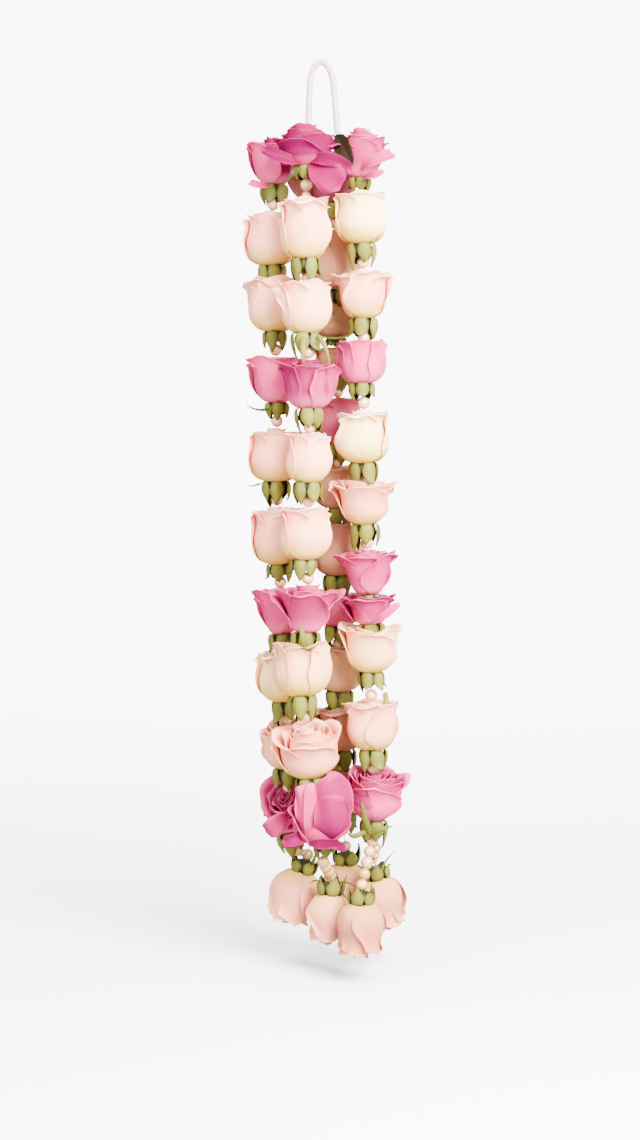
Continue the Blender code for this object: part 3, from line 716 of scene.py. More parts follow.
def plan():
    """Where every rose stands and how every string runs, as the CAD has them: a rose stands
    on the straight stretch between two beads of its string, and a tail's pearls follow each
    other to its rose, which hangs upside down over a stop knot."""
    roses = []
    strings = {}
    for letter, strand in STRANDS.items():
        above = np.array(strand.top, float)
        beads = [(np.array(strand.start, float), 0.0), (above, 0.0)]
        for number, rose in enumerate(strand.roses, 1):
            below = np.array((rose.x, strand.y, -rose.base - rose.neck), float)
            axis = (above - below) / np.linalg.norm(above - below)
            foot = below + axis * rose.neck
            room = np.linalg.norm(above - foot) + (FIRST_ROSE_ROOM if number == 1 else 0.0)
            name = f"{letter}{number:02d}"
            turn = strand.turn + ROSE_TURN * number
            look = LOOKS.get(name, BACK_LOOK)
            roses.append(Stand(name, rose, foot, axis, turn, room, letter, look))
            beads.append((below, PEARL_RADIUS if rose.neck == NECK else 0.0))
            if rose.second:
                below = below - np.array((0, 0, PEARL_RADIUS + rose.second))
                beads.append((below, rose.second))
            above = below
        strings[letter] = beads
    for letter, tail in TAILS.items():
        if tail.start:
            strings[letter] = [(np.array(tail.start, float), 0.0)]
        beads = strings[letter]
        foot, mouth = np.array(tail.foot, float), np.array(tail.mouth, float)
        height = np.linalg.norm(foot - mouth)
        up = (foot - mouth) / height
        head, before = beads[-1]
        before = before or TAIL_LEAD
        pairs = zip((before, *tail.pearls), tail.pearls)
        reaches = np.cumsum([low + high for low, high in pairs])
        last = foot + up * NECK
        for share, radius in zip(reaches / reaches[-1], tail.pearls):
            beads.append((head + (last - head) * share, radius))
        rose = Rose("blush", 0, 0, height, tail.belly, tail.rim)
        name = f"tail_{letter}"
        look = LOOKS[name]
        roses.append(Stand(name, rose, foot, -up, TAIL_ROSE_TURN, 2 * height, "tail", look))
        knot = foot - up * (BUD_SHARE * height - BUD_DIMPLE + KNOT_GAP + KNOT_RADIUS)
        beads.append((knot, KNOT_RADIUS))
    return roses, strings


ROSES, STRINGS = plan()


def pressed(points):
    """Points with the depth y eased at the garland's front and back: past a limit it goes on
    as limit + room tanh((y - limit) / room)."""
    y = points[..., 1]
    front = FRONT_LIMIT + LIMIT_ROOM * np.tanh((y - FRONT_LIMIT) / LIMIT_ROOM)
    back = BACK_LIMIT + LIMIT_ROOM * np.tanh((y - BACK_LIMIT) / LIMIT_ROOM)
    points[..., 1] = np.where(y < FRONT_LIMIT, front, np.where(y > BACK_LIMIT, back, y))
    return points


def stood(points, stand):
    """Points of a rose's own space in its place. Above the foot the rose bends more and more
    towards the way it nods, about a point on its string by the mouth, and leans along X."""
    rose = stand.rose
    x, y, z = np.moveaxis(points, -1, 0)
    pivot = MOUTH_SHARE * rose.height
    nod, toward = math.radians(rose.nod + stand.look.bow), math.radians(rose.toward)
    nod_x, nod_y = math.cos(toward), math.sin(toward)
    weight = smooth(z, 0.0, BEND_SHARE * rose.height)
    bend = nod * weight
    out, up = x * nod_x + y * nod_y, z - pivot
    shift = out * (np.cos(bend) - 1) + up * np.sin(bend)
    z = pivot + up * np.cos(bend) - out * np.sin(bend)
    share = np.clip(np.hypot(x, y) / rose.rim, 0.0, 1.0) ** 2
    x = x + shift * nod_x + rose.lean * weight * share
    y = y + shift * nod_y
    moved = np.array([stand.look.shift, 0.0, stand.look.lift])
    return pressed(np.stack([x, y, z], -1) @ basis(stand.axis) + stand.foot + moved)


def opened(pair, look):
    """A value for a closed rose, and what it has more the further the rose is open."""
    return pair[0] + pair[1] * look.open


def cup_radius(share, belly, waist, rim, full):
    """Radius of a cup at a share of its height: a round bowl that swells to the belly, then a
    wall that eases in to the waist and out again to the rim."""
    low = np.clip(share / full, 0.0, 1.0)
    high = np.clip((share - full) / (1.0 - full), 0.0, 1.0)
    bowl = belly * (1.0 - (1.0 - low) ** 2.1) ** (0.36 + 0.9 * max(0.0, full - 0.4))
    drawn_in = (waist - belly) * smooth(high, 0.0, 0.72)
    return bowl + drawn_in + (rim - waist) * smooth(high, 0.42, 1.05)


def turned_out(radius, height, curl):
    """A profile whose steps are turned outward by the curl at each point, summed up again."""
    step_out = np.diff(radius, axis=0)
    step_up = np.diff(height, axis=0)
    turn = (curl[1:] + curl[:-1]) / 2
    out = step_out * np.cos(turn) + step_up * np.sin(turn)
    up = step_up * np.cos(turn) - step_out * np.sin(turn)
    radius = np.concatenate([radius[:1], radius[:1] + np.cumsum(out, axis=0)])
    height = np.concatenate([height[:1], height[:1] + np.cumsum(up, axis=0)])
    return radius, height


# The cup that a petal lies on: its radii and its height
Cup = namedtuple("Cup", "belly waist rim height")

# One petal: its rose's look, its layer, how many layers lie outside it, how strong its lip and
# its waves still are, how far it frills, whether it stands apart, and its grid's shares
Petal = namedtuple("Petal", "look layer depth fade frill parted across along")


def petal_cup(stand, depth, layer, angle, draw):
    """A petal's cup has its layer's shares of the rose's sizes. Its waist lies between belly
    and rim, drawn in on a closed rose. An open rose's outer petals sink, its rim dips towards
    one side, and the heart stays under the pearl above."""
    rose, look = stand.rose, stand.look
    spread = layer.rim_closed + (layer.rim_open - layer.rim_closed) * look.open
    belly = layer.belly * rose.belly + draw.uniform(-BELLY_CHANCE, BELLY_CHANCE)
    belly -= OUTER_BELLY_INSET if depth == 0 else 0.0
    rim = spread * rose.rim - (OUTER_RIM_INSET if depth == 0 else INNER_RIM_INSET)
    rim += draw.uniform(-RIM_CHANCE, RIM_CHANCE)
    drawn_in = WAIST_SHARES[0] * belly + WAIST_SHARES[1] * rim
    waist = drawn_in + ((belly + rim) / 2 - drawn_in) * look.open
    height = layer.height * rose.height * (1 + draw.uniform(*HEIGHT_CHANCE))
    height *= 1 - look.sink * max(0.0, 1 - depth / 3)
    if depth >= HEART_DEPTH:
        least, most = (share * rose.height for share in HEART_HEIGHTS)
        height = min(max(stand.room - HEART_GAP, least), most)
    elif depth >= 2 and rim < NARROW_RIM:
        height = min(height, stand.room - NARROW_GAP)
    if depth < 3:
        height -= look.dip * max(0.0, math.cos(angle - math.radians(look.dip_at))) ** 1.5
    return Cup(belly, waist, rim, height)


def petal_outline(petal, draw):
    """The share of the cup's height and of the petal's full width at each point. The rim is
    rounded, comes to a small point and waves. The petal narrows to its foot and its rim, or
    where it stands apart keeps its width, with a swelling half way up."""
    look, depth, across, along = petal.look, petal.depth, petal.across, petal.along
    rounding = opened(OUTER_ROUNDING, look) if depth < 2 else INNER_ROUNDING
    point = opened(POINT, look) * petal.fade
    waves = (OUTER_WAVES if depth < 2 else INNER_WAVES) + FRILL_WAVES * petal.frill
    waves = waves * np.sin(math.pi * (2.1 * across + draw.uniform(0, 2)))
    top = 1 - rounding * np.abs(across) ** 2.2 + point * bell(across, 0.2) + waves
    taper = min(1.0, 0.72 + draw.uniform(-TAPER_CHANCE, TAPER_CHANCE) + 0.05 * depth)
    taper *= look.wrap if depth == 0 else 1.0
    width = smooth(along, -0.3, 0.36) * (1 - (1 - taper) * smooth(along, 0.42, 1.0))
    if petal.parted:
        width = look.wrap + 0.14 * bell(along - 0.5, 0.24)
    return along * top, width


def petal_profile(petal, cup, share):
    """The radius and height at each point. The radius is the cup's, or a cone's, less in the
    creases near the foot, and more towards the petal's outer edge, which laps over the next
    petal and rolls outward."""
    look, fade, across = petal.look, petal.fade, petal.across
    radius = cup_radius(share, cup.belly, cup.waist, cup.rim, opened(BOWL_END, look))
    narrow = CONE_FOOT * cup.belly
    straight = (narrow + (cup.rim - narrow) * share) * smooth(share, -0.06, 0.1)
    radius = radius + (straight - radius) * look.cone
    crease = sum(deep * bell(np.abs(across) - place, wide) for place, wide, deep in CREASES)
    radius = radius - CREASE_DEPTH * fade * crease * smooth(share, 0.42, 0.08)
    outer = np.abs(across) if petal.parted else across * look.hand
    radius = radius + LAP * fade * outer / 2 * smooth(share, 0.02, 0.3)
    rolled = smooth(share, 0.15, 0.6) if petal.depth == 0 else smooth(share, 0.6, 0.95)
    radius = radius + EDGE_ROLL * fade * smooth(outer, 0.74, 1.0) * rolled
    foot = 0.4 + 0.7 * petal.depth
    return np.maximum(radius, HOLE_RADIUS), foot + (cup.height - foot) * share


def lip_curl(petal, draw):
    """The turn outward at each point of a lip, in radians. It grows towards the rim, is
    stronger in the middle than at the sides, and ruffles."""
    look, across = petal.look, petal.across
    lip_from = LIP_FROM + draw.uniform(*LIP_CHANCE)
    reach = np.clip((petal.along - lip_from) / (1 - lip_from), 0, 1)
    curl = math.radians(petal.layer.curl) * look.curl * draw.uniform(*CURL_CHANCE)
    tip = LIP_TIP * petal.fade * bell(across, 0.28) * reach
    ruffle = LIP_RUFFLE * np.sin(math.pi * (1.6 * across + draw.uniform(0, 2)))
    return (curl * (1 - 0.3 * np.abs(across)) + tip + ruffle) * reach**1.4


def dented(petal, radius, share, draw):
    """A petal's radius scaled by the rose's girth, with shallow dents, the flare of the rim
    and the pleats of a flared petal, which are all sine waves or rise smoothly."""
    look, fade, across = petal.look, petal.fade, petal.across
    dent = DENT_DEPTH * fade * np.sin(3.1 * across + draw.uniform(0, 6))
    dent = dent * np.sin(5.0 * petal.along + draw.uniform(0, 6))
    if petal.depth < 2:
        flared = look.flare * (1.0, 0.5)[petal.depth]
    else:
        flared = min(0.0, look.flare) * fade
    pleats = PLEAT_DEPTH * petal.frill * np.sin(6.5 * across + draw.uniform(0, 6))
    pleats = pleats * smooth(share, 0.35, 1.0)
    flared = flared * smooth(share, 0.4, 1.05) ** 1.4
    return radius * look.girth + dent * smooth(share, 0.1, 0.4) + flared + pleats


def petal_sheet(stand, depth, layer, number, draw):
    """One petal's middle surface, with the share along it and across it. Along goes from the
    foot to the rim, and across from -1 to 1 round the rose. The profile's radius and height
    at each point are carried round the rose's axis."""
    look = stand.look
    rising = (1 - np.cos(np.linspace(0, 1, layer.rows) * math.pi)) / 2
    along = (0.65 * rising + 0.35 * np.linspace(0, 1, layer.rows))[:, None]
    across = spaced_across(layer.cols)
    fade = 1 - depth / (len(LAYERS) + 2)
    parted = depth == 0 and look.wrap < PARTED_WRAP
    petal = Petal(look, layer, depth, fade, max(0.0, look.flare) * fade, parted, across, along)
    place = look.face + 360 * (number + 0.5 * (depth % 2)) / layer.petals
    angle = math.radians(place + draw.uniform(-TURN_CHANCE, TURN_CHANCE))
    cup = petal_cup(stand, depth, layer, angle, draw)
    share, width = petal_outline(petal, draw)
    radius, rise = petal_profile(petal, cup, share)
    radius, rise = turned_out(radius, rise, lip_curl(petal, draw))
    radius = dented(petal, radius, share, draw)
    theta = angle + math.radians(layer.width) * width * across
    sheet = np.stack([radius * np.cos(theta), radius * np.sin(theta), rise], -1)
    return stood(sheet, stand), share, np.broadcast_to(across, share.shape)


def loose_sheet(loose, rows, cols, pointed):
    """A free petal's or sepal's middle surface, with the share along it and across it: its
    middle line is a cubic, and across it runs an arc that bends round by the cup. A petal's
    end is rounded, and a sepal's comes to a point."""
    across = spaced_across(cols)
    along = np.linspace(0, 1, rows)[:, None] ** 0.9
    top = 1 - 0.17 * np.abs(across) ** 3 + 0.03 * bell(across, 0.2)
    top = top + 0.025 * np.sin(5.5 * across + loose.width)
    share = along * (np.ones_like(across) if pointed else top)
    a, b, c, d = (np.array(point, float) for point in loose.path)
    s = share[..., None]
    middle = a * (1 - s) ** 3 + 3 * b * s * (1 - s) ** 2 + 3 * c * s * s * (1 - s) + d * s**3
    ahead = unit((b - a) * (1 - s) ** 2 + 2 * (c - b) * s * (1 - s) + (d - c) * s * s)
    side = unit(np.cross(ahead, np.array(loose.facing)))
    normal = np.cross(side, ahead)
    if pointed:
        width = loose.width * smooth(along, -0.5, 0.3) * (1 - along**1.6) ** 0.8
        width = width + 0.25 * (1 - along)
    else:
        width = loose.width * smooth(along, -0.3, 0.55) * (1 - 0.1 * smooth(along, 0.8, 1.0))
    arc = loose.cup * across
    out = width * np.sin(arc) / loose.cup
    rise = width * (1 - np.cos(arc)) / loose.cup - loose.lip * smooth(share, 0.7, 1.0) ** 2
    if not pointed:
        roll = 2.2 if loose.cup > 0 else -3.0
        rise = rise - roll * smooth(np.abs(across), 0.66, 1.0) ** 2 * smooth(along, 0.2, 0.7)
    rise = rise + 0.09 * loose.width * np.sin(5.0 * across + 4.0 * along + loose.width) * along
    sheet = pressed(middle + side * out[..., None] + normal * rise[..., None])
    if loose.cup > 0:
        return sheet[:, ::-1], share[:, ::-1], np.broadcast_to(across, share.shape)
    return sheet, share, np.broadcast_to(across, share.shape)


def add_petal(surfaces, made, thickness, raised, depth, pale, shade, uv_place):
    """Adds a petal that gets thinner at its edge, with what its material reads: the share
    along it, raised towards its tip, the share that is edge, its depth, pale and shade."""
    sheet, along, across = made
    edge = np.maximum(smooth(np.abs(across), 0.87, 0.97), smooth(along, 0.91, 0.98))
    place = values_on(edge.shape, along + raised * (1 - along), edge, depth)
    tone = values_on(edge.shape, pale, 0, shade)
    uv = values_on(edge.shape, across * 0.5 + uv_place[0], along + uv_place[1])
    surfaces.add_shell(sheet, thickness * (1 - 0.35 * edge), place, tone, uv)


def dressed_rose(stand, thickness):
    """All petals of a rose, from the outer layer to the heart, and those that stand free."""
    draw = np.random.default_rng(sum(map(ord, stand.name)) * 7)
    surfaces = Surfaces()
    look = stand.look
    raised = RAISED.get(stand.strand, 0.0)
    for depth, layer in enumerate(LAYERS):
        for number in range(layer.petals):
            made = petal_sheet(stand, depth, layer, number, draw)
            pale = look.pale if depth == 0 or look.core is None else look.core
            pale = np.clip(pale + draw.uniform(-PALE_CHANCE, PALE_CHANCE), -1, 1)
            add_petal(surfaces, made, thickness, raised, depth / (len(LAYERS) - 1), pale,
                      look.shade, (number, depth))
    for number, loose in enumerate(LOOSE_PETALS):
        if loose.rose == stand.name:
            made = loose_sheet(loose, *LOOSE_PETAL_GRID, pointed=False)
            add_petal(surfaces, made, thickness, LOOSE_RAISED, 0.1, loose.pale, look.shade,
                      (number, 0.4))
    return surfaces


def add_sepal(surfaces, made, thickness, tip_from, chance, number):
    """Adds a sepal that gets thinner at its edge, which at its tip starts at a share of its
    length, with what its material reads: the share along it, its edge and a chance."""
    sheet, along, across = made
    edge = np.maximum(np.abs(across) ** 5, smooth(along, tip_from, 1.0))
    place = values_on(edge.shape, along, edge, 0)
    tone = values_on(edge.shape, chance, 0, 0)
    uv = values_on(edge.shape, across * 0.5 + number, along)
    surfaces.add_shell(sheet, thickness * (1 - 0.5 * edge), place, tone, uv)


def hip_rings(stand, short):
    """Rings of a hip, a tapering round stub under the rose, from its lower end up."""
    rows, sides = HIP_GRID
    around = round_angles(sides)[None, :]
    t = np.linspace(0, 1, rows)
    radius = through(HIP_RADII, t)[:, None]
    drop = through(HIP_DROPS, t)[:, None] * short + 0 * around
    hip = np.stack([radius * np.cos(around), radius * np.sin(around), drop], -1)[::-1]
    return stood(hip, stand)


def sepal_sheet(stand, place, short, splayed, draw):
    """A sepal's middle surface at an angle round the rose, with the share along it and across
    it. Its middle line goes out and then down, its half width swells and comes to a point,
    and it wraps round the rose's axis."""
    along = np.linspace(0, 1, SEPAL_ROWS)[:, None]
    across = np.linspace(-1, 1, SEPAL_COLS)[None, :]
    length = draw.uniform(*SEPAL_LENGTHS)
    hook = SEPAL_HOOK * draw.uniform() ** 2.5 + splayed * draw.uniform(0.0, TAIL_HOOK)
    splay = draw.uniform(*SEPAL_SPLAYS) + splayed * draw.uniform(0.0, TAIL_SPLAY)
    radius = through(SEPAL_RADII, along) * (0.45 + 0.55 * short)
    radius = radius + splay * smooth(along, 0.3, 1.0)
    radius = radius + hook * smooth(along, 0.55, 1.0) ** 2
    drop = through(SEPAL_DROPS, along) * short * (1 + (length - 1) * smooth(along, 0.4, 1.0))
    drop = drop + 0.7 * hook * smooth(along, 0.7, 1.0) ** 2
    width = through(SEPAL_HALF_WIDTHS, along) * (0.6 + 0.4 * short)
    width = width * draw.uniform(*SEPAL_WIDTHS)
    width = width * (1 - TAIL_NARROWER * splayed * smooth(along, 0.55, 0.85))
    twist = draw.uniform(-SEPAL_TWIST, SEPAL_TWIST) * along**2
    angle = place + draw.uniform(-SEPAL_TURN, SEPAL_TURN) + twist
    radius = radius - SEPAL_HOLLOW * across**2 * smooth(along, 0.15, 0.5)
    theta = angle + across * width / np.maximum(radius, 2.0)
    drop = drop + 0 * across
    sheet = np.stack([radius * np.cos(theta), radius * np.sin(theta), drop], -1)[:, ::-1]
    return stood(sheet, stand), along, across


def dressed_calyx(stand, thickness):
    """The hip and five sepals of a rose, and the sepals that stand free."""
    draw = np.random.default_rng(sum(map(ord, stand.name)) * 11)
    splayed = 1.0 if stand.strand == "tail" else 0.0
    short = stand.rose.neck / NECK * stand.look.leafy * (1 - TAIL_SHORTER * splayed)
    surfaces = Surfaces()
    surfaces.add_tube(hip_rings(stand, short), place=1.0)
    start = stand.turn + draw.uniform(0, 6)
    for number in range(SEPALS):
        place = start + 2 * math.pi * number / SEPALS
        made = sepal_sheet(stand, place, short, splayed, draw)
        add_sepal(surfaces, made, thickness, SEPAL_TIP, draw.uniform(), number)
    for number, loose in enumerate(LOOSE_SEPALS):
        if loose.rose == stand.name:
            made = loose_sheet(loose, *LOOSE_SEPAL_GRID, pointed=True)
            add_sepal(surfaces, made, thickness, LOOSE_SEPAL_TIP, 0.5, number)
    return surfaces


def round_bead(centre, radius, rows=13, cols=18):
    """Rings of a sphere from its lowest to its highest, spaced evenly by angle, a little
    out of round."""
    angle = np.linspace(-math.pi / 2 + 0.12, math.pi / 2 - 0.12, rows)[:, None]
    around = round_angles(cols)[None, :]
    out = radius * np.cos(angle) * (1 + 0.015 * np.sin(2 * around + centre[2]))
    up = radius * np.sin(angle) * 0.985 + 0 * around
    return np.stack([out * np.cos(around), out * np.sin(around), up], -1) + centre


def swept(path, radius, sides, across=(0.0, 1.0, 0.0)):
    """Rings round a path: at each point a circle square to the path's direction, whose first
    vector is square to the vector across."""
    direction = unit(np.gradient(path, axis=0))
    first = unit(np.cross(direction, np.asarray(across)))
    second = np.cross(direction, first)
    around = round_angles(sides)[None, :, None]
    ring = first[:, None] * np.cos(around) + second[:, None] * np.sin(around)
    return path[:, None] + ring * np.asarray(radius).reshape(-1, 1, 1)


def loop_path(count=121):
    """The loop's middle line: half an ellipse over the crown, then legs that slant out to
    their feet on the binding."""
    place = np.linspace(-1, 1, count)
    length = CORD_RADIUS - BINDING_TOP
    drop = length * (1 - np.cos(np.abs(place) * math.pi / 2)) ** 0.86
    foot = np.where(place < 0, LOOP_LEFT_FOOT, LOOP_RIGHT_FOOT)
    arch = LOOP_HALF_WIDTH * np.sqrt(1 - (1 - np.minimum(drop / LOOP_ARCH, 1.0)) ** 2)
    slant = (foot - LOOP_HALF_WIDTH) * drop / length
    return np.stack([np.sign(place) * (arch + slant), 0 * place, CORD_RADIUS - drop], -1)


def string_path(beads, steps=8):
    """The string's middle line: straight from each bead to the next, in equal steps."""
    path = np.array([centre for centre, _ in beads])
    stretch = np.linspace(0, 1, steps * (len(path) - 1) + 1) * (len(path) - 1)
    low = np.minimum(stretch.astype(int), len(path) - 2)
    return path[low] + (path[low + 1] - path[low]) * (stretch - low)[:, None]


def binding_paths(wire):
    """The middle lines of the wound thread, which is a helix along X round an ellipse, and
    of the core in it, for a thread of the radius wire."""
    span = BINDING_RIGHT - BINDING_LEFT - 2 * wire
    wraps = int(span / (WRAP_PITCH * wire))
    turn = np.linspace(0, 2 * math.pi * wraps, wraps * WRAP_STEPS + 1)
    middle = BINDING_TOP - BINDING_HALF_HEIGHT
    helix = np.stack([
        BINDING_LEFT + wire + span * turn / turn[-1],
        BINDING_Y + (BINDING_HALF_DEPTH - wire) * np.cos(turn),
        middle + (BINDING_HALF_HEIGHT - wire) * np.sin(turn)], -1)
    x = np.linspace(BINDING_LEFT + BINDING_CORE_INSET, BINDING_RIGHT - BINDING_CORE_INSET, 5)
    return helix, np.stack([x, np.full(5, BINDING_Y), np.full(5, middle)], -1)


def leaf_sheet(rows=49, cols=13):
    """The leaf's middle surface, and what its material reads: the share along it and across
    it, its edge and its veins. Its midrib is a cubic, and its half width swells past the
    stalk and closes to a point with saw teeth. Its edges fold back, and cosine ribs slant
    from the midrib to them."""
    t = np.linspace(0, 1, rows)
    controls = np.array(LEAF_SPINE, float)
    powers = np.stack([(1 - t) ** 3, 3 * t * (1 - t) ** 2, 3 * t * t * (1 - t), t**3], -1)
    spine = powers @ controls
    along = unit(np.gradient(spine, axis=0))
    side = unit(np.cross(along, np.array(LEAF_FACING)))
    facing = np.cross(side, along)
    swell = 1.5 * smooth(t, LEAF_STALK_SHARE, LEAF_STALK_SHARE + 0.42) * (1 - t) ** 0.42
    teeth = 1 - LEAF_TOOTH * ((t * LEAF_TEETH) % 1.0)
    half = np.maximum(LEAF_STALK_HALF_WIDTH, LEAF_HALF_WIDTH * swell * teeth)[:, None]
    u, v = np.meshgrid(np.linspace(-1, 1, cols), t)
    wave = np.cos(2 * math.pi * (LEAF_RIBS * v - LEAF_RIB_SLANT * np.abs(u)))
    back = -LEAF_FOLD * np.abs(u) * half * (1 + 0.25 * np.sin(9 * v + 2 * u))
    ribs = LEAF_RIB_HEIGHT * wave * smooth(v, 0.25, 0.4)
    sheet = spine[:, None] + side[:, None] * (u * half)[..., None]
    sheet = sheet + facing[:, None] * (back + ribs)[..., None]
    edge = np.maximum(np.abs(u) ** 4, smooth(v, 0.9, 1.0))
    vein = np.maximum(bell(u, 0.10), 0.6 * smooth(wave, 0.8, 1.0))
    return sheet, v, u, edge, vein


def feed(tree, node, inputs):
    """Sets a node's inputs to values, or links them to other nodes' outputs."""
    for name, value in inputs.items():
        if isinstance(value, bpy.types.NodeSocket):
            tree.links.new(value, node.inputs[name])
        else:
            node.inputs[name].default_value = value


def add_node(tree, kind, inputs=None, **settings):
    """A node with its settings, whose inputs are values or other nodes' outputs."""
    made = tree.nodes.new(kind)
    for name, value in settings.items():
        setattr(made, name, value)
    feed(tree, made, inputs or {})
    return made


def mixed(tree, factor, first, second, blend="MIX"):
    """Colour that goes from the first to the second as the factor goes from 0 to 1."""
    made = add_node(tree, "ShaderNodeMix", {0: factor, 6: first, 7: second},
                    data_type="RGBA", blend_type=blend, clamp_result=True)
    return made.outputs[2]


def ramped(tree, value, low, high, to_low=0.0, to_high=1.0):
    """Goes smoothly from to_low to to_high as the value goes from low to high."""
    inputs = {0: value, 1: low, 2: high, 3: to_low, 4: to_high}
    made = add_node(tree, "ShaderNodeMapRange", inputs, interpolation_type="SMOOTHSTEP")
    return made.outputs[0]


def sum_of(tree, operation, *values):
    """The result of a sum worked out on one or two values."""
    made = add_node(tree, "ShaderNodeMath", dict(enumerate(values)), operation=operation)
    return made.outputs[0]


def object_place(tree):
    """The place of each point in the object's own space."""
    return add_node(tree, "ShaderNodeTexCoord").outputs["Object"]


def read_values(tree, label):
    """The three parts of a vector that the mesh holds at each point."""
    vector = add_node(tree, "ShaderNodeAttribute", attribute_name=label).outputs["Vector"]
    return add_node(tree, "ShaderNodeSeparateXYZ", {0: vector}).outputs


def new_group(name, inputs, outputs):
    """An empty node group and its input and output nodes."""
    group = bpy.data.node_groups.new(name, "ShaderNodeTree")
    for label, kind, default in inputs:
        socket = group.interface.new_socket(label, in_out="INPUT", socket_type=kind)
        socket.default_value = default
    for label, kind in outputs:
        group.interface.new_socket(label, in_out="OUTPUT", socket_type=kind)
    given = group.nodes.new("NodeGroupInput").outputs
    return group, given, group.nodes.new("NodeGroupOutput").inputs


def vein_group():
    """Fine veins that run along a petal or leaf and waver, from its UV map: a height and a
    mask, both from 0 to 1."""
    found = bpy.data.node_groups.get("Fine veins")
    if found:
        return found
    group, given, result = new_group(
        "Fine veins",
        (("Count", "NodeSocketFloat", 12.0), ("Waver", "NodeSocketFloat", 1.0)),
        (("Height", "NodeSocketFloat"), ("Mask", "NodeSocketFloat")))
    uv = add_node(group, "ShaderNodeUVMap", uv_map="UVMap").outputs[0]
    stretched = {"Vector": uv, "Scale": (1.0, 0.25, 1.0)}
    wide = add_node(group, "ShaderNodeMapping", stretched).outputs[0]
    bands = {"Vector": wide, "Scale": given["Count"], "Distortion": given["Waver"],
             "Detail": 2.0, "Detail Scale": 1.6}
    wave = add_node(group, "ShaderNodeTexWave", bands, bands_direction="X").outputs["Fac"]
    group.links.new(wave, result["Height"])
    group.links.new(ramped(group, wave, 0.55, 1.0), result["Mask"])
    return group


def mottle_group():
    """Soft mottling: a colour that leans towards another in drifting clouds."""
    found = bpy.data.node_groups.get("Soft mottling")
    if found:
        return found
    group, given, result = new_group(
        "Soft mottling",
        (("Color", "NodeSocketColor", (1, 1, 1, 1)),
         ("Stain", "NodeSocketColor", (0.5, 0.4, 0.2, 1)),
         ("Scale", "NodeSocketFloat", 90.0), ("Amount", "NodeSocketFloat", 0.2)),
        (("Color", "NodeSocketColor"), ("Clouds", "NodeSocketFloat")))
    noise = {"Vector": object_place(group), "Scale": given["Scale"],
             "Detail": 4.0, "Roughness": 0.55}
    clouds = add_node(group, "ShaderNodeTexNoise", noise).outputs["Fac"]
    mask = ramped(group, clouds, 0.38, 0.72)
    amount = sum_of(group, "MULTIPLY", mask, given["Amount"])
    group.links.new(mixed(group, amount, given["Color"], given["Stain"]), result["Color"])
    group.links.new(mask, result["Clouds"])
    return group


def use_group(tree, group, inputs):
    """The outputs of a node group that is placed in a tree with its own values."""
    return add_node(tree, "ShaderNodeGroup", inputs, node_tree=group).outputs


def opaque(colour, scale=1.0):
    """A colour, darker where scaled, with an alpha of 1."""
    return (*(channel * scale for channel in colour), 1.0)


def finish_shader(tree, colour, settings, height=None, strength=0.2, distance=0.0004):
    """Feeds the material's Principled BSDF its colour, its settings and a bump."""
    shader = tree.nodes["Principled BSDF"]
    feed(tree, shader, {"Base Color": colour, **settings})
    if height is not None:
        inputs = {"Height": height, "Strength": strength, "Distance": distance}
        bump = add_node(tree, "ShaderNodeBump", inputs)
        tree.links.new(bump.outputs[0], shader.inputs["Normal"])


def material_of(name, finish, *settings):
    """The material of that name. The first call makes it and gives it its finish."""
    made = bpy.data.materials.get(name)
    if not made:
        made = bpy.data.materials.new(name)
        made.use_nodes = True
        finish(made.node_tree, *settings)
    return made


def petal_finish(tree, tint, colours):
    """Petals: greenish cream at the foot, the body's colour above, stronger towards the heart and
    on the inner face low in the cup, partly the petal's own deeper inside and partly painted
    shade, another tint along the edge, with fine veins and soft mottling, and painted shade
    towards the shade colour for petals that lie in shadow."""
    parts = ("", "_pale", "_heart", "_foot", "_rim")
    body, pale, heart, foot, rim = (opaque(getattr(colours, f"{tint}{part}")) for part in parts)
    along, edge, depth = read_values(tree, "place")
    paleness, inner, shaded = read_values(tree, "tone")
    veins = use_group(tree, vein_group(), {"Count": 7.0, "Waver": 3.0})
    mottled = use_group(tree, mottle_group(), {
        "Color": mixed(tree, paleness, body, pale), "Stain": pale, "Scale": 55.0,
        "Amount": ramped(tree, paleness, 0.0, 1.0, 0.03, 0.25)})
    deepening = ramped(tree, paleness, -1.0, 0.0, 0.62, 0.0)
    deepened = mixed(tree, deepening, mottled["Color"], (0, 0, 0, 1))
    foot_share = ramped(tree, along, 0.06, 0.42, 0.95, 0.0)
    # The inner face leans to the heart's colour low in the cup: partly its own colour, partly
    # painted shade
    inside = sum_of(tree, "MULTIPLY", inner, ramped(tree, along, 0.35, 0.86, 0.5, 0.0))
    deep = sum_of(tree, "MAXIMUM", sum_of(tree, "MULTIPLY", depth, 0.75), inside)
    colour = mixed(tree, deep, deepened, heart)
    colour = mixed(tree, sum_of(tree, "MULTIPLY", veins["Mask"], 0.06), colour, heart)
    rim_share = sum_of(tree, "MULTIPLY", edge, ramped(tree, paleness, -0.2, 0.8, 0.1, 0.6))
    colour = mixed(tree, rim_share, colour, rim)
    colour = mixed(tree, foot_share, colour, foot)
    # Painted shade: petals that lie in shadow lean towards the shade colour
    colour = mixed(tree, shaded, colour, opaque(colours.shade))
    finish_shader(tree, colour, {
        "Roughness": ramped(tree, mottled["Clouds"], 0.0, 1.0, 0.46, 0.60),
        "Subsurface Weight": 0.2,
        "Subsurface Radius": (1.0, 0.7, 0.75),
        "Subsurface Scale": 0.003,
        "Specular IOR Level": 0.03,
    }, veins["Height"], 0.12, 0.0003)


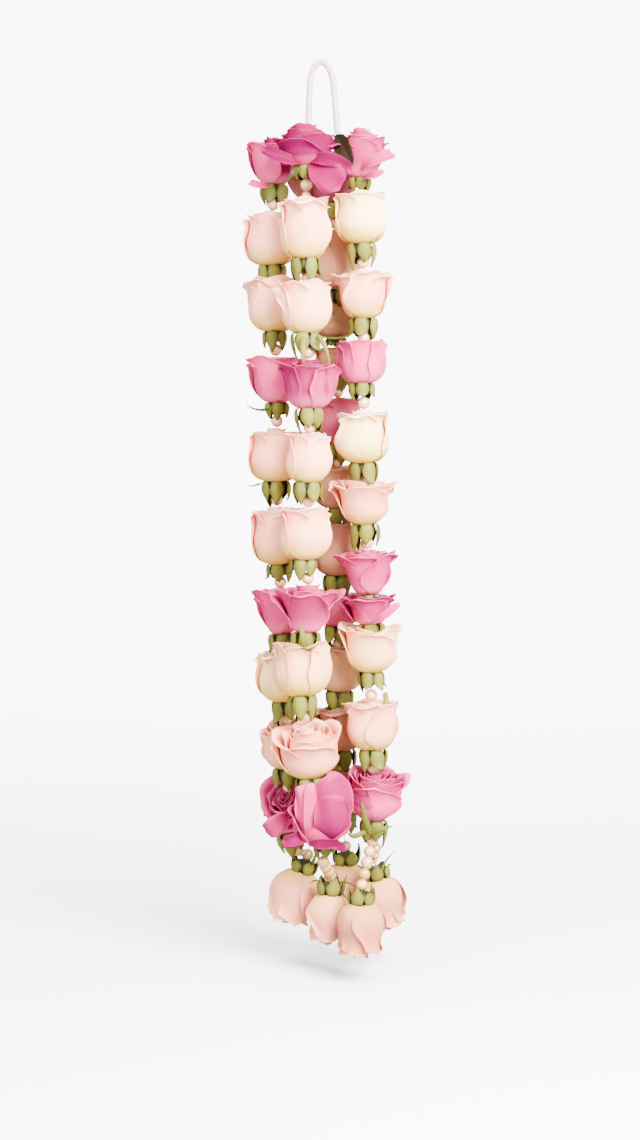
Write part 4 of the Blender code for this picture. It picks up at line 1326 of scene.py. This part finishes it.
def sepal_finish(tree, colours):
    """Sepals and hips: pale olive outside, near black green inside and on the hip, which is
    painted shade in the hollow of the calyx, and dark brown along the edge, partly a dried edge
    and partly painted shade.
    """
    _, edge, hip = read_values(tree, "place")
    chance, inner, _ = read_values(tree, "tone")
    dark, mid = opaque(colours.sepal_inside_shade), opaque(colours.sepal, 0.5)
    veins = use_group(tree, vein_group(), {"Count": 6.0, "Waver": 1.5})
    colour = mixed(tree, sum_of(tree, "MULTIPLY", chance, 0.7), opaque(colours.sepal), mid)
    colour = mixed(tree, sum_of(tree, "MULTIPLY", veins["Mask"], 0.3), colour, dark)
    # The inner face and the hip take the dark colour: painted shade inside the calyx
    colour = mixed(tree, sum_of(tree, "MAXIMUM", inner, hip), colour, dark)
    # Dark brown along the edge: partly a dried edge, partly painted shade
    colour = mixed(tree, sum_of(tree, "MULTIPLY", edge, 0.75), colour, opaque(colours.sepal_edge))
    mottled = use_group(tree, mottle_group(), {
        "Color": colour, "Stain": mid, "Scale": 110.0, "Amount": 0.4})
    finish_shader(tree, mottled["Color"], {
        "Roughness": ramped(tree, mottled["Clouds"], 0.0, 1.0, 0.45, 0.65),
        "Specular IOR Level": 0.15,
        "Subsurface Weight": 0.08,
        "Subsurface Scale": 0.002,
    }, veins["Height"], 0.25, 0.0003)


def pearl_finish(tree, colours):
    """Pearls: champagne with painted sheen in paler drifting clouds, darker towards the rim as
    seen, which is painted shade, under a glossy coat.
    """
    noise = {"Vector": object_place(tree), "Scale": 130.0, "Detail": 2.0}
    # Painted sheen: paler clouds over the pearl
    clouds = add_node(tree, "ShaderNodeTexNoise", noise).outputs["Fac"]
    glow = ramped(tree, clouds, 0.35, 0.65)
    colour = mixed(tree, glow, opaque(colours.pearl), opaque(colours.pearl_sheen))
    colour = mixed(tree, read_values(tree, "place")[2], colour, opaque(colours.pearl_peach))
    # Painted shade: darker towards the rim, where the surface turns from view
    facing = add_node(tree, "ShaderNodeLayerWeight", {"Blend": 0.42}).outputs["Facing"]
    colour = mixed(tree, facing, colour, opaque(colours.pearl, 0.4))
    mottled = use_group(tree, mottle_group(), {
        "Color": colour, "Stain": opaque(colours.pearl), "Scale": 500.0, "Amount": 0.25})
    finish_shader(tree, mottled["Color"], {
        "Roughness": 0.24,
        "Coat Weight": 1.0,
        "Coat Roughness": 0.06,
        "Subsurface Weight": 0.15,
        "Subsurface Scale": 0.003,
    }, clouds, 0.05, 0.0003)


def thread_finish(tree, colour, count, slant, roughness, sheen):
    """Twisted thread or satin cord: slanting strands from the tube's UV map, darker where they
    dip, which is painted shade.
    """
    uv = add_node(tree, "ShaderNodeUVMap", uv_map="UVMap").outputs[0]
    parts = add_node(tree, "ShaderNodeSeparateXYZ", {0: uv}).outputs
    turns = sum_of(tree, "MULTIPLY", parts[0], count)
    slide = sum_of(tree, "MULTIPLY", parts[1], slant)
    twist = sum_of(tree, "MULTIPLY", sum_of(tree, "ADD", turns, slide), 2 * math.pi)
    height = ramped(tree, sum_of(tree, "SINE", twist), -1.0, 1.0)
    # Painted shade: the colour darkens where the strands dip between each other
    dark = opaque(colour, 0.84)
    mottled = use_group(tree, mottle_group(), {
        "Color": mixed(tree, height, dark, opaque(colour)), "Stain": dark,
        "Scale": 120.0, "Amount": 0.3})
    finish_shader(tree, mottled["Color"], {
        "Roughness": roughness,
        "Sheen Weight": sheen,
        "Subsurface Weight": 0.1,
        "Subsurface Scale": 0.002,
    }, height, 0.5, 0.0003)


def leaf_finish(tree, colours):
    """A dark leaf with paler veins from the values of its mesh."""
    _, edge, vein = read_values(tree, "place")
    veins = use_group(tree, vein_group(), {"Count": 30.0, "Waver": 6.0})
    colour = mixed(tree, vein, opaque(colours.leaf), opaque(colours.leaf_vein))
    colour = mixed(tree, sum_of(tree, "MULTIPLY", edge, 0.5), colour, opaque(colours.leaf_vein))
    mottled = use_group(tree, mottle_group(), {
        "Color": colour, "Stain": opaque(colours.leaf_vein), "Scale": 220.0, "Amount": 0.3})
    finish_shader(tree, mottled["Color"], {
        "Roughness": ramped(tree, mottled["Clouds"], 0.0, 1.0, 0.5, 0.65),
        "Specular IOR Level": 0.05,
    }, veins["Height"], 0.3, 0.0003)


def floor_finish(tree, colours):
    """A pale floor, darker in what other rays meet, whose wall glows for the camera."""
    mottled = use_group(tree, mottle_group(), {
        "Color": opaque(colours.floor), "Stain": opaque(colours.floor, 0.97),
        "Scale": 3.0, "Amount": 0.5})
    depth = add_node(tree, "ShaderNodeSeparateXYZ", {0: object_place(tree)}).outputs[1]
    behind = ramped(tree, depth, WALL_GLOW_FROM, WALL_GLOW_TO)
    seen = add_node(tree, "ShaderNodeLightPath").outputs["Is Camera Ray"]
    bounce = mixed(tree, seen, FLOOR_BOUNCE, mottled["Color"])
    glow = mixed(tree, sum_of(tree, "MULTIPLY", behind, seen), (0, 0, 0, 1), WALL_GLOW)
    finish_shader(tree, bounce, {
        "Roughness": 0.7, "Emission Color": glow, "Emission Strength": WALL_GLOW_STRENGTH})


def settings_of(context):
    """The panel's sizes and colours."""
    return context.scene.garland_sizes, context.scene.garland_colours


class GARLAND_OT_roses(bpy.types.Operator):
    """Dress every rose head with petals in layers"""

    bl_idname = "garland.roses"
    bl_label = "Rose Petals"

    def execute(self, context):
        sizes, colours = settings_of(context)
        for stand in ROSES:
            surfaces = dressed_rose(stand, sizes.petal_thickness / MM)
            tint = stand.rose.tint
            material = material_of(f"{tint} petals", petal_finish, tint, colours)
            nodes = [f"rose_{stand.name}"]
            surfaces.make(f"petals_{stand.name}", material, f"petals_{tint}", nodes)
        return {"FINISHED"}


class GARLAND_OT_calyxes(bpy.types.Operator):
    """Put a calyx of five bent sepals under every rose head"""

    bl_idname = "garland.calyxes"
    bl_label = "Calyxes"

    def execute(self, context):
        sizes, colours = settings_of(context)
        for stand in ROSES:
            surfaces = dressed_calyx(stand, sizes.sepal_thickness / MM)
            material = material_of("sepals", sepal_finish, colours)
            nodes = [f"rose_{stand.name}"]
            surfaces.make(f"calyx_{stand.name}", material, "sepal_green", nodes)
        return {"FINISHED"}


class GARLAND_OT_strings(bpy.types.Operator):
    """Thread the pearls on their strings"""

    bl_idname = "garland.strings"
    bl_label = "Pearls and Threads"

    def execute(self, context):
        sizes, colours = settings_of(context)
        thread = material_of("twisted thread", thread_finish, colours.thread, *THREAD_TWIST)
        for letter, beads in STRINGS.items():
            pearls, strand = Surfaces(), Surfaces()
            for centre, radius in beads:
                if radius > KNOT_RADIUS:
                    peach = float(smooth(centre[2], PEACH_FROM, PEACH_TO))
                    pearls.add_tube(round_bead(centre, radius), place=peach)
                elif radius:
                    strand.add_tube(round_bead(centre, radius))
            path = string_path(beads)
            strand.add_tube(swept(path, np.full(len(path), sizes.thread_radius / MM), 6))
            pearl = material_of("pearl skin", pearl_finish, colours)
            pearls.make(f"pearls_{letter}", pearl, "pearl", [f"string_{letter}"])
            strand.make(f"thread_{letter}", thread, "thread_white", [f"string_{letter}"])
        return {"FINISHED"}


class GARLAND_OT_loop(bpy.types.Operator):
    """Make the satin cord loop that the garland hangs by"""

    bl_idname = "garland.loop"
    bl_label = "Hanging Loop"

    def execute(self, context):
        _, colours = settings_of(context)
        path = loop_path()
        cord = Surfaces()
        cord.add_tube(swept(path, np.full(len(path), CORD_RADIUS), 20))
        material = material_of("satin cord", thread_finish, colours.cord, *CORD_TWIST)
        cord.make("cord_loop", material, "cord_ivory", ["hanging_loop"])
        return {"FINISHED"}


class GARLAND_OT_binding(bpy.types.Operator):
    """Wind thread round the cord's ends and the strings"""

    bl_idname = "garland.binding"
    bl_label = "Binding"

    def execute(self, context):
        sizes, colours = settings_of(context)
        wire = sizes.winding_radius / MM
        helix, core = binding_paths(wire)
        bound = Surfaces()
        bound.add_tube(swept(helix, np.full(len(helix), wire), 6, across=(1.0, 0.0, 0.0)))
        bound.add_tube(swept(core, np.full(len(core), BINDING_HALF_DEPTH - 1.6 * wire), 16))
        material = material_of("twisted thread", thread_finish, colours.thread, *THREAD_TWIST)
        bound.make("binding_thread", material, "thread_white", ["binding"])
        return {"FINISHED"}


class GARLAND_OT_leaf(bpy.types.Operator):
    """Hang the leaf between the top roses"""

    bl_idname = "garland.leaf"
    bl_label = "Leaf"

    def execute(self, context):
        sizes, colours = settings_of(context)
        sheet, along, across, edge, vein = leaf_sheet()
        thickness = sizes.leaf_thickness / MM * (1 - 0.4 * edge)
        place = values_on(edge.shape, along, edge, vein)
        tone = values_on(edge.shape, 0, 0, 0)
        blade = Surfaces()
        blade.add_shell(sheet, thickness, place, tone, values_on(edge.shape, across, along))
        material = material_of("leaf blade", leaf_finish, colours)
        blade.make("leaf_blade", material, "leaf_green", ["leaf"])
        return {"FINISHED"}


class GARLAND_OT_stage(bpy.types.Operator):
    """Set the pale sweep, the soft lights and the camera"""

    bl_idname = "garland.stage"
    bl_label = "Stage"

    def execute(self, context):
        self.add_sweep(settings_of(context)[1])
        for light in LIGHTS:
            self.add_light(*light)
        world = bpy.data.worlds.new("studio")
        world.use_nodes = True
        sky = world.node_tree.nodes["Background"]
        feed(world.node_tree, sky, {"Color": SKY_COLOUR, "Strength": SKY_STRENGTH})
        context.scene.world = world
        camera = bpy.data.cameras.new("camera")
        camera.sensor_width = SENSOR_WIDTH
        camera.lens = SENSOR_WIDTH / (IMAGE_HEIGHT / FOCAL_PIXELS)
        holder = bpy.data.objects.new("camera", camera)
        holder.location = CAMERA_PLACE
        holder.rotation_euler = (math.radians(CAMERA_PITCH), 0.0, 0.0)
        context.scene.collection.objects.link(holder)
        context.scene.camera = holder
        return {"FINISHED"}

    def add_sweep(self, colours):
        """A floor that rises behind in a quarter circle to a wall, carried along X."""
        angle = np.linspace(0, math.pi / 2, 17)
        y = np.concatenate([FLOOR_ROWS, COVE_START + COVE_RADIUS * np.sin(angle), [WALL_Y]])
        rise = [[0.0, 0.0], COVE_RADIUS - COVE_RADIUS * np.cos(angle), [WALL_HEIGHT]]
        z = np.concatenate(rise) + FLOOR_Z
        x = np.linspace(-FLOOR_HALF_WIDTH, FLOOR_HALF_WIDTH, 9)
        points = np.stack(np.broadcast_arrays(x[None, :], y[:, None], z[:, None]), -1)
        _, quads = grid_faces(*points.shape[:2])
        mesh = bpy.data.meshes.new("sweep")
        mesh.from_pydata(points.reshape(-1, 3).tolist(), [], quads.tolist())
        mesh.shade_smooth()
        mesh.materials.append(material_of("sweep", floor_finish, colours))
        sweep = bpy.data.objects.new("sweep", mesh)
        bpy.context.scene.collection.objects.link(sweep)

    def add_light(self, name, place, size, power):
        """A round lamp at a place, turned towards the middle of the garland."""
        light = bpy.data.lights.new(name, "AREA")
        light.shape = "DISK"
        light.size = size
        light.energy = power
        holder = bpy.data.objects.new(name, light)
        holder.location = place
        aim = Vector(LIGHT_AIM) - Vector(place)
        holder.rotation_euler = aim.to_track_quat("-Z", "Y").to_euler()
        bpy.context.scene.collection.objects.link(holder)


OPERATORS = (
    GARLAND_OT_roses,
    GARLAND_OT_calyxes,
    GARLAND_OT_strings,
    GARLAND_OT_loop,
    GARLAND_OT_binding,
    GARLAND_OT_leaf,
    GARLAND_OT_stage,
)


class GARLAND_PT_panel(bpy.types.Panel):
    """Lists the garland's sizes, colours and pieces"""

    bl_idname = "GARLAND_PT_panel"
    bl_label = "Rose and Pearl Garland"
    bl_space_type = "VIEW_3D"
    bl_region_type = "UI"
    bl_category = "Garland"

    def draw(self, context):
        layout = self.layout
        for settings in (context.scene.garland_sizes, context.scene.garland_colours):
            for name in settings.__annotations__:
                layout.prop(settings, name)
        for operator in OPERATORS:
            layout.operator(operator.bl_idname)


CLASSES = (GarlandSizes, GarlandColours, *OPERATORS, GARLAND_PT_panel)


def register():
    """Makes the garland's settings, operators and panel known to Blender."""
    for made in CLASSES:
        bpy.utils.register_class(made)
    bpy.types.Scene.garland_sizes = bpy.props.PointerProperty(type=GarlandSizes)
    bpy.types.Scene.garland_colours = bpy.props.PointerProperty(type=GarlandColours)


def unregister():
    """Takes away what register made known."""
    del bpy.types.Scene.garland_colours
    del bpy.types.Scene.garland_sizes
    for made in reversed(CLASSES):
        bpy.utils.unregister_class(made)


def main():
    """Dresses the garland piece by piece."""
    register()
    for operator in OPERATORS:
        group, name = operator.bl_idname.split(".")
        getattr(getattr(bpy.ops, group), name)()


if __name__ == "__main__":
    main()
